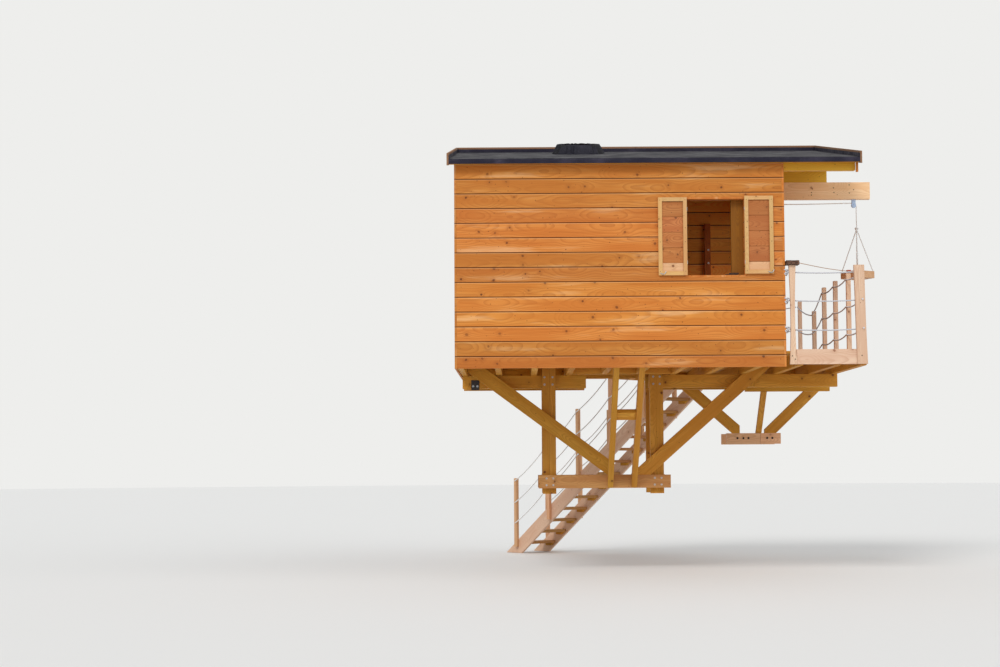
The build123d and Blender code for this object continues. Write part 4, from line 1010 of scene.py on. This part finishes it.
def curve_of(name: str, kind: str, lines: list[Line]) -> bpy.types.Curve:
    """Make a curve with one open spline for each line.

    Args:
        name: The curve's name.
        kind: POLY or NURBS.
        lines: Middle lines, in metres.

    Returns:
        The curve.
    """
    curve = bpy.data.curves.new(name, "CURVE")
    curve.dimensions = "3D"
    for line in lines:
        spline = curve.splines.new(kind)
        spline.points.add(len(line) - 1)
        for point, spot in zip(spline.points, line):
            point.co = (*spot, 1.0)
        if kind == "NURBS":
            spline.order_u = min(3, len(line))
            spline.use_endpoint_u = True
    return curve


def laid(name: str, lines: list[Line], diameter: float, finish: RopeFinish, node: str,
         knots: list[tuple[Vector, float]] | None = None) -> Piece:
    """Lay a rope along each line in place of a CAD node, and tie overhand knots.

    Args:
        name: The piece's name.
        lines: The ropes' middle lines, in metres.
        diameter: The rope's thickness in millimetres.
        finish: Its fibre.
        node: The CAD node that it replaces, which also names its slot.
        knots: Middle and radius in metres of every knot.

    Returns:
        The finished piece.
    """
    loops = []
    for middle, radius in knots or []:
        turns = [math.tau * i / KNOT_POINTS for i in range(KNOT_POINTS)]
        loops.append([middle + radius / 3 * Vector((math.sin(t) + 2 * math.sin(2 * t), -math.sin(3 * t) * 1.4,
                                                    math.cos(t) - 2 * math.cos(2 * t))) for t in turns])
    curve = curve_of(name, "POLY", lines + loops)
    for spline in curve.splines[len(lines):]:
        spline.use_cyclic_u = True
    sockets = {"Diameter": diameter / 1000, "Lay": diameter * ROPE_LAY / 1000,
               "Step": diameter * ROPE_STEP / 1000, "Strands": 3.0, "Finish": finish.material()}
    return rides(grown(linked(name, curve), "laid_rope", sockets, draw_rope), node, node)


def rod(name: str, lines: list[Line], diameter: float, finish: Finish, slot: str) -> Piece:
    """Bend round bar along each line.

    Args:
        name: The piece's name.
        lines: Middle lines in metres.
        diameter: The bar's thickness in millimetres.
        finish: Its finish.
        slot: The record's material slot.

    Returns:
        The finished piece.
    """
    curve = curve_of(name, "NURBS", lines)
    curve.bevel_depth = diameter / 2000
    curve.bevel_resolution = 3
    curve.use_fill_caps = True
    solid = finished(linked(name, curve))
    solid.data.materials.clear()
    solid.data.materials.append(finish.material())
    return rides(solid, slot)


@dataclass
class Cabin:
    """The boarded room: cladding, frame, window, shutters and what shows inside."""

    past_groove: float = 1.0
    floor_board: float = 140.0
    shutter_width: float = 348.0
    hinge_lines: Pair = (2817.0, 3513.0)
    shutter_foot: float = 3688.0
    shutter_top: float = 4636.0
    shutter_front: float = -30.0
    left_drop: float = 14.0
    strip: float = 47.0
    recess: float = 17.0
    panel_board: float = 188.0
    panel_gap: float = 1.5
    panel_back: float = -4.0
    lowest_board: float = 90.0
    hinge_heights: Pair = (3830.0, 4480.0)
    hinge_half: Pair = (4.0, 20.0)
    hooks: tuple[Pair, ...] = ((2522.0, 3686.0), (3826.0, 3700.0))
    hook_bends: tuple[Spot, ...] = ((-34, -35, 14), (-6, -41, -4), (24, -39, 6), (34, -35, 34))
    hook_bar: float = 9.0
    pin_bar: float = 5.0
    rear_bolts: tuple[Spot, ...] = ((3387, 2458, 4336), (3387, 2458, 4155))
    screw_columns: tuple[float, ...] = (2490, 2795, 3536, 3838)
    screw_rows: tuple[float, ...] = (3722, 4080, 4250, 4590)
    latch: tuple[Box, ...] = (((3276, 3428), (2, 30), (3677, 3687)), ((3322, 3440), (6, 26), (3687, 3704)))
    wall_nodes: tuple[str, ...] = ("front_wall", "rear_wall", "left_wall", "right_wall_front",
                                   "right_wall_rear", "door_lintel")

    def build(self) -> Iterator[Piece]:
        """Build and dress the cabin, piece by piece."""
        joints = (2, FIRST_JOINT + self.past_groove, BOARD_PITCH)
        yield dressed("wall_boarding", Timber.BOARDING, 0.0, joints)
        for node in self.wall_nodes:
            yield dressed(node, Timber.ROOM, 0.0, joints)
        yield dressed("cabin_floor", Timber.FRAME, 0.0, (0, self.floor_board, self.floor_board))
        for node in ("corner_battens", "window_lining", "door_lining"):
            yield dressed(node, Timber.BOARDING)
        # The amber stud at the window and the dark post on the rear wall share a node
        yield coated(dressed("wall_studs", Timber.AMBER), Timber.STUD.value, lambda face: face.center.y > 0)
        yield from self._shutters()
        yield from self._hardware()

    def _shutters(self) -> Iterator[Piece]:
        """Put frame strips round a recessed panel of horizontal boards, on each shutter."""
        strips, panels = [], []
        depth = (self.shutter_front, 0.0)
        sides = ((self.hinge_lines[0] - self.shutter_width, self.hinge_lines[0], self.left_drop),
                 (self.hinge_lines[1], self.hinge_lines[1] + self.shutter_width, 0.0))
        for left, right, drop in sides:
            low, high = self.shutter_foot - drop, self.shutter_top - drop
            inside = (left + self.strip, right - self.strip)
            strips += [(x, depth, (low, high)) for x in ((left, inside[0]), (inside[1], right))]
            strips += [(inside, depth, z) for z in ((low, low + self.strip), (high - self.strip, high))]
            top, foot = high - self.strip, low + self.strip
            while top > foot + 1.0:
                under = max(top - self.panel_board, foot)
                panels.append((inside, (self.shutter_front + self.recess, self.panel_back),
                               (under + self.panel_gap, top - self.panel_gap)))
                top = under
        node = "window_shutters"
        yield softened("shutter_strips", box_boards(*strips), Timber.STRIP, 2.0, node, node)
        boards = softened("shutter_panels", box_boards(*panels), Timber.PANEL, 2.0, node)
        lowest = place(0, 0, self.shutter_foot + self.strip + self.lowest_board).z
        yield coated(boards, Timber.STEP.value, lambda face: face.center.z < lowest)

    def _hardware(self) -> Iterator[Piece]:
        """Set hooks, screws and hinges on the shutters, bolts inside, and the latch on the sill."""
        bent = [[place(x + dx, y, z + dz) for dx, y, dz in self.hook_bends] for x, z in self.hooks]
        yield rod("shutter_hooks", bent, self.hook_bar, ZINC, "window_shutters")
        screws = [(x, self.shutter_front, z) for x in self.screw_columns for z in self.screw_rows]
        yield SMALL_SCREW.set_on("shutter_screws", "window_shutters", screws, DARK_SCREW)
        wide, tall = self.hinge_half
        hinges = [(x, z) for x in self.hinge_lines for z in self.hinge_heights]
        depth = (self.shutter_front - 2, self.shutter_front)
        plates = box_boards(*(((x - wide, x + wide), depth, (z - tall, z + tall)) for x, z in hinges))
        yield softened("shutter_hinges", plates, DULL_ZINC, 0.8, "window_shutters")
        pins = [[place(x, self.shutter_front - 3, z + end) for end in (-tall, tall)] for x, z in hinges]
        yield rod("hinge_pins", pins, self.pin_bar, DULL_ZINC, "window_shutters")
        yield HEX_BOLT.set_on("rear_post_bolts", "wall_studs", self.rear_bolts, WHITE_ZINC)
        yield softened("sill_latch", box_boards(*self.latch), BRONZED, 2.0, "window_lining")


@dataclass
class Roof:
    """The lean-to roof: boards, rafters, felt, edge boards and the gathered sleeve."""

    timbers: dict[str, Timber] = field(default_factory=lambda: {
        "rafters": Timber.YELLOW, "rafter_headers": Timber.YELLOW, "roof_nosing": Timber.FRAME,
        "rear_kerb": Timber.WORN, "barge_boards": Timber.WORN, "front_plate": Timber.YELLOW,
        "middle_beam": Timber.YELLOW})
    board_joints: tuple[int, float, float] = (1, 60.0, 140.0)
    roof_middle: Spot = (2422.0, 1300.0, 5300.0)
    sleeve_middle: Spot = (1580.0, 1850.0, 5500.0)
    felt_roll: float = 16.0
    bare_top: float = 24.0
    end_board: Box = ((4877, 4904), (-18, 16), (4925, 5066))
    pleats: int = 17
    pleat_mm: float = 30.0

    def build(self) -> Iterator[Piece]:
        """Build and dress the roof, piece by piece."""
        for node, timber in self.timbers.items():
            yield dressed(node, timber)
        yield dressed("roof_boards", Timber.YELLOW, 0.0, self.board_joints)
        yield softened("felt_cover", shape_of("roof_felt"), FELT, self.felt_roll, "roof_felt", "roof_felt")
        self._felt_edges()
        yield self._sleeve()
        yield softened("plate_end_board", box_boards(self.end_board), Timber.BOARDING, 3.0, "front_plate")

    def _felt_edges(self) -> None:
        """Take the felt up the edge boards' inward faces, to just under their bare tops."""
        middle = place(*self.roof_middle)
        slope = max(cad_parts["roof_felt"].data.polygons, key=lambda face: face.area).normal.copy()
        slope *= math.copysign(1.0, slope.z)
        for name, axis in (("rear_kerb_timber", 1), ("barge_boards_timber", 0)):
            edge = bpy.data.objects[name]
            shape = bmesh.new()
            shape.from_mesh(edge.data)
            crest = max(v.co.dot(slope) for v in shape.verts) - self.bare_top / 1000
            bmesh.ops.bisect_plane(shape, geom=shape.verts[:] + shape.edges[:] + shape.faces[:],
                                   plane_co=slope * crest, plane_no=slope)
            shape.to_mesh(edge.data)
            shape.free()
            coated(edge, FELT, lambda face: face.center.dot(slope) < crest and abs(face.normal[axis]) > 0.5
                   and (middle - face.center)[axis] * face.normal[axis] > 0.0)

    def _sleeve(self) -> Piece:
        """Gather the rubber sleeve in pleats round its top."""
        middle = place(*self.sleeve_middle)

        def pleat(spot: Vector) -> Vector:
            """Pull a point in towards the sleeve's middle between two pleats.

            Args:
                spot: The point, in metres.

            Returns:
                Its new place.
            """
            out = Vector((spot.x - middle.x, spot.y - middle.y, 0))
            turn = math.atan2(out.y, out.x)
            # Two slower waves keep the pleats from being even
            uneven = 2.2 * math.sin(3 * turn + 1) + 1.3 * math.sin(7 * turn)
            fold = 0.5 + 0.5 * math.sin(turn * self.pleats + uneven)
            return spot - out.normalized() * (self.pleat_mm / 1000 * fold)

        return reshaped("trunk_boot", "trunk_sleeve", 2, pleat, SLEEVE)


@dataclass
class Hoist:
    """The beam, pulley, rope and tray at the right."""

    beam_front: float = 1420.0
    pulley: Pair = (5170.0, 4762.0)
    pulley_radius: float = 35.0
    wrap_steps: int = 8
    wrap_degrees: int = 11
    rope_x: float = 5205.0
    rope_y: float = 1457.5
    wall_end: Pair = (4002.0, 4786.0)
    halfway: Pair = (4500.0, 4785.0)
    knot_z: float = 4455.0
    knot_radius: float = 0.021
    rope: float = 16.0
    tray_half: float = 143.5
    tray_top: float = 3883.0
    tray_turn: float = 30.0
    strand_sag: float = 2.0
    red_block: Box = ((5042, 5098), (1352, 1392), (3868, 3906))
    screws: tuple[Pair, ...] = ((4626, 4982), (4615, 4934), (4612, 4901), (5109, 5032), (5166, 4969),
                                (5109, 4925), (4904, 4995), (4908, 4934))

    def build(self) -> Iterator[Piece]:
        """Build and dress the hoist, piece by piece."""
        # The beam's brighter finish is painted sunlight
        yield dressed("hoist_beam", Timber.BEAM)
        yield dressed("hoist_tray", Timber.STEP, 2.0)
        yield repainted("hoist_pulley", BLUE_PAINT)
        knot = (self.rope_x, self.rope_y, self.knot_z)
        x, z = self.pulley
        over = [self.wall_end, self.halfway, (x, z + self.pulley_radius)]
        for i in range(self.wrap_steps):
            a = math.radians(90 - (i + 1) * self.wrap_degrees)
            over.append((x + self.pulley_radius * math.cos(a), z + self.pulley_radius * math.sin(a)))
        ropes = [[place(x, self.rope_y, z) for x, z in over] + [place(*knot)]]
        half = self.tray_half
        corners = [turned(knot[:2], x, y, self.tray_turn) for x in (-half, half) for y in (-half, half)]
        ropes += [hanging([knot, (*corner, self.tray_top)], self.strand_sag) for corner in corners]
        yield laid("hoist_line", ropes, self.rope, HOIST_ROPE, "hoist_rope", [(place(*knot), self.knot_radius)])
        yield repainted("tag_line", TWINE)
        yield softened("tray_block", box_boards(self.red_block), RED_PAINT, 3.0, "hoist_tray")
        screws = [(x, self.beam_front, z) for x, z in self.screws]
        yield SCREW.set_on("hoist_beam_screws", "hoist_beam", screws, DARK_SCREW)


@dataclass
class Platform:
    """Joists, floor boards, bearers, collars and braces."""

    frame_nodes: tuple[str, ...] = (
        "deck_joists", "joist_headers", "deck_rims", "side_deck_boards", "rear_deck_boards", "front_bearers",
        "rear_bearers", "rear_bearer_end", "front_collar", "rear_collar", "hanger_posts", "brace_front_left",
        "brace_front_right", "brace_blocks", "trunk_braces", "second_collars", "second_bearer", "second_braces")
    # The second collars take the paler stair finish: painted light on collars that lie in shade under the deck
    collar_timbers: dict[str, Timber] = field(default_factory=lambda: {
        "front_collar": Timber.COLLAR, "rear_collar": Timber.COLLAR, "second_collars": Timber.STEP})
    worn: float = 4.0
    post_face: float = 1625.0
    post_bolts: tuple[tuple[float, ...], tuple[float, ...]] = ((1108, 1213, 2535, 2621), (2452, 2548))
    plate_bolts: tuple[Spot, ...] = ((170, 1694, 2438), (224, 1694, 2438))
    angle_plate: Box = ((3690, 3752), (1690, 1700), (2577, 2700))
    angle_bolt: Spot = (3724, 1690, 2660)
    second_bolts: tuple[float, ...] = (3787, 3870, 3939, 4198, 4269)
    second_face: Pair = (2700, 1752)

    def build(self) -> Iterator[Piece]:
        """Build and dress the platform and the frames under it, piece by piece."""
        for node in self.frame_nodes:
            yield dressed(node, self.collar_timbers.get(node, Timber.FRAME), self.worn)
        yield repainted("collar_bolts", DULL_ZINC)
        yield repainted("steel_plate", BLACK_PLATE)
        posts = [(x, self.post_face, z) for x in self.post_bolts[0] for z in self.post_bolts[1]]
        yield HEX_BOLT.set_on("post_top_bolts", "collar_bolts", posts, DULL_ZINC)
        yield HEX_BOLT.set_on("plate_bolts", "steel_plate", self.plate_bolts, ZINC)
        yield softened("joist_plate", box_boards(self.angle_plate), BLACK_PLATE, 2.0, "steel_plate")
        yield HEX_BOLT.set_on("joist_plate_bolt", "steel_plate", [self.angle_bolt], ZINC)
        second = [(x, *self.second_face) for x in self.second_bolts]
        yield HEX_BOLT.set_on("second_collar_bolts", "collar_bolts", second, DARK_SCREW)


@dataclass
class Railing:
    """Front posts, side posts and the sagging ropes of the deck."""

    deck_length: float = 4970.0
    deck_rear: float = 4150.0
    floor: float = 2753.0
    post: float = 55.0
    inset: float = 3.0
    rope: float = 14.0
    fluff: float = 6.0
    rises: tuple[float, ...] = (957.0, 613.0, 261.0)
    front_holds: tuple[Pair, ...] = ((4030.0, 29.3), (4878.0, 29.3))
    front_sag: float = 12.0
    side_sag: float = 30.0
    side_start: float = 26.0
    knot_spot: Pair = (4012.0, 20.0)
    knot_radius: float = 0.04
    side_posts: tuple[float, ...] = (790.0, 1565.0, 2290.0, 3000.0, 4060.0)
    low_post: int = 3
    low_drop: float = 250.0
    post_height: float = 1037.0
    rear_posts: tuple[float, ...] = (3665.0, 4290.0)
    rear_end: float = 28.0
    slant_posts: tuple[float, ...] = (100.0, 785.0, 1470.0)
    slant_corner: Pair = (2034.0, 2600.0)
    bark_bite: float = 0.014
    pegs: tuple[Pair, ...] = ((4920, 3373), (4928, 3022))
    peg_ends: Pair = (-22, -46)
    peg: float = 20.0
    screws: tuple[Spot, ...] = ((4066, -23, 2690), (4100, -23, 2650), (4905, -23, 2690))

    def build(self) -> Iterator[Piece]:
        """Build and dress the railing, piece by piece."""
        # Posts and kick board take the lighter larch finish, which holds painted sunlight
        for node in ("deck_front_posts", "deck_kick_board", "rail_posts"):
            yield dressed(node, Timber.PALE)
        yield self._bark_cap()
        lines = [line for rise in self.rises for line in self._ropes(rise)]
        knots = [(place(*self.knot_spot, self.floor + rise), self.knot_radius) for rise in self.rises]
        yield laid("deck_ropes", lines, self.rope + self.fluff, SIDE_ROPE, "rail_ropes", knots)
        pegs = [[place(x, y, z) for y in self.peg_ends] for x, z in self.pegs]
        yield rod("post_pegs", pegs, self.peg, SIDE_ROPE, "deck_front_posts")
        yield SCREW.set_on("post_screws", "deck_front_posts", self.screws, DARK_SCREW)

    def _bark_cap(self) -> Piece:
        """Roughen the slice of bark on the left front post."""
        low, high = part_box("post_cap")
        middle = (low + high) / 2

        def gnaw(spot: Vector) -> Vector:
            """Pull a point of the bark slice in by a few millimetres of rough bark."""
            bite = 0.5 + 0.5 * noise.noise(spot * 38.0) + 0.25 * noise.noise(spot * 110.0)
            return spot + (middle - spot).normalized() * (self.bark_bite * max(bite, 0.0))

        return reshaped("post_cap", "bark_cap", 9, gnaw, BARK)

    def _ropes(self, rise: float) -> Iterator[Line]:
        """Run one level of rope round the deck.

        Args:
            rise: Its height above the floor boards, in millimetres.

        Yields:
            The middle lines along the front, the right side, the rear and the slanted edge, in metres.
        """
        level = self.floor + rise
        yield hanging([(x, y, level) for x, y in self.front_holds], self.front_sag)
        half = self.post / 2
        behind = self.rope / 2 + ROPE_GAP
        inner = self.deck_length - self.inset - self.post - behind
        held = [(inner, self.side_start, level)]
        for i, y in enumerate(self.side_posts):
            drop = self.low_drop * rise / self.post_height if i == self.low_post else 0
            held.append((inner, y + half, level - drop))
        yield hanging(held, self.side_sag)
        rear = self.deck_rear - self.inset - self.post - behind
        behind_posts = (*self.rear_posts, inner + behind - self.rear_end)
        yield hanging([(x, rear, level) for x in behind_posts], self.side_sag)
        diagonal = math.sqrt(0.5)
        depth = (half + self.inset) * diagonal
        away = (half + behind) * diagonal
        x, y = self.slant_corner
        yield hanging([(x + t * diagonal + depth + away, y + t * diagonal - depth - away, level)
                       for t in self.slant_posts], self.side_sag)


@dataclass
class Stair:
    """The open stair with its posts and three ropes a side."""

    # The treads take the darker collar finish as painted shade, and the stringers the lighter one as painted
    # sunlight
    timbers: dict[str, Timber] = field(default_factory=lambda: {
        "stair_stringers": Timber.PALE, "stair_treads": Timber.COLLAR, "stair_cleats": Timber.FRAME,
        "stair_posts": Timber.STEP})
    foot: Pair = (796.0, 6000.0)
    turn: float = 45.0
    slope: float = 0.789
    width: float = 667.0
    stringer: float = 268.0
    post: float = 55.0
    rope: float = 14.0
    fluff: float = 6.0
    sag: float = 42.0
    spots: tuple[float, ...] = (-80.0, 645.0, 1275.0, 1950.0, 2600.0, 3250.0)
    post_rise: float = 1120.0
    drops: tuple[float, ...] = (45.0, 388.0, 715.0)

    def build(self) -> Iterator[Piece]:
        """Build and dress the stair, piece by piece."""
        for node, timber in self.timbers.items():
            yield dressed(node, timber)
        beside = self.post + self.rope / 2 + ROPE_GAP
        lines = []
        for drop in self.drops:
            for across in (-beside, self.width + beside):
                held = [(*turned(self.foot, s, across, -self.turn),
                         self.slope * s + self.stringer / 2 + self.post_rise - drop) for s in self.spots]
                lines.append(hanging(held, self.sag))
        yield laid("stair_rope_lines", lines, self.rope + self.fluff, STAIR_ROPE, "stair_ropes")


@dataclass
class Studio:
    """Pale floor, soft light and the camera."""

    focal_px: float = 1497.4
    image_width: float = 1000.0
    sensor: float = 36.0
    eye: Spot = (772.0, -18000.0, 1390.0)
    roll_degrees: float = 0.35
    tilt_degrees: float = 3.2
    horizon_px: float = 132.2
    shift: float = -0.0194
    floor_colour: str = "#ecebe8"
    floor_radius: float = 90.0
    floor_drop: float = -2.0
    sky: tuple[str, float] = ("#f4f7fb", 0.56)
    backdrop: str = "#eeeeec"
    # A soft sun from the front left and a broad one from the right: strength, angle and turn
    lamps: dict[str, tuple[float, float, Spot]] = field(default_factory=lambda: {
        "key": (1.38, 20.0, (52.0, 0.0, -28.0)), "fill": (0.9, 60.0, (62.0, 0.0, 52.0))})

    def build(self) -> None:
        """Set the stage."""
        scene = bpy.context.scene
        scene.view_settings.view_transform = "Standard"
        self._floor()
        self._lights()
        camera = linked("camera", bpy.data.cameras.new("camera"))
        camera.location = place(*self.eye)
        camera.rotation_euler = (math.radians(90 + self.tilt_degrees), math.radians(self.roll_degrees), 0)
        camera.data.sensor_width = self.sensor
        camera.data.lens = self.focal_px * self.sensor / self.image_width
        camera.data.shift_x = self.shift
        raised = self.focal_px * math.tan(math.radians(self.tilt_degrees))
        camera.data.shift_y = (self.horizon_px - raised) / self.image_width
        camera.data.clip_end = 200.0
        scene.camera = camera

    def _floor(self) -> None:
        """Lay a wide plain floor at the stair's foot."""
        shape = bmesh.new()
        bmesh.ops.create_circle(shape, cap_ends=True, radius=self.floor_radius, segments=96)
        mesh = mesh_of(shape, "floor")
        mesh.transform(Matrix.Translation((0, 0, place(0, 0, self.floor_drop).z)))
        mesh.materials.append(FloorFinish("pale_floor", self.floor_colour).material())
        linked("floor", mesh)

    def _lights(self) -> None:
        """Hang the two lamps in an even sky, which shows as a plain backdrop."""
        world = bpy.data.worlds.new("studio")
        bpy.context.scene.world = world
        world.use_nodes = True
        tree = world.node_tree
        tree.nodes.clear()
        seen = add(tree, "ShaderNodeLightPath").outputs
        sharp = add(tree, GREATER, (seen["Is Camera Ray"], seen["Is Glossy Ray"]))
        clear = add(tree, GREATER, (sharp, seen["Is Transmission Ray"]))
        sky, shown = (add(tree, "ShaderNodeBackground", {"Color": colour, "Strength": strength})
                      for colour, strength in (self.sky, (self.backdrop, 1.0)))
        both = add(tree, "ShaderNodeMixShader", {0: clear, 1: sky, 2: shown})
        add(tree, "ShaderNodeOutputWorld", {"Surface": both})
        for name, (strength, angle, turn) in self.lamps.items():
            lamp = bpy.data.lights.new(name, "SUN")
            lamp.energy = strength
            lamp.angle = math.radians(angle)
            linked(name, lamp).rotation_euler = [math.radians(a) for a in turn]


def main() -> None:
    """Build the house in order, report each piece, then set the studio round it."""
    logging.basicConfig(level=logging.INFO, format="%(name)s: %(message)s")
    for part in (Cabin(), Roof(), Hoist(), Platform(), Railing(), Stair()):
        for piece in part.build():
            log.info("%s: %s, %d faces", type(part).__name__, piece.name, len(piece.data.polygons))
    Studio().build()


if __name__ == "__main__":
    main()
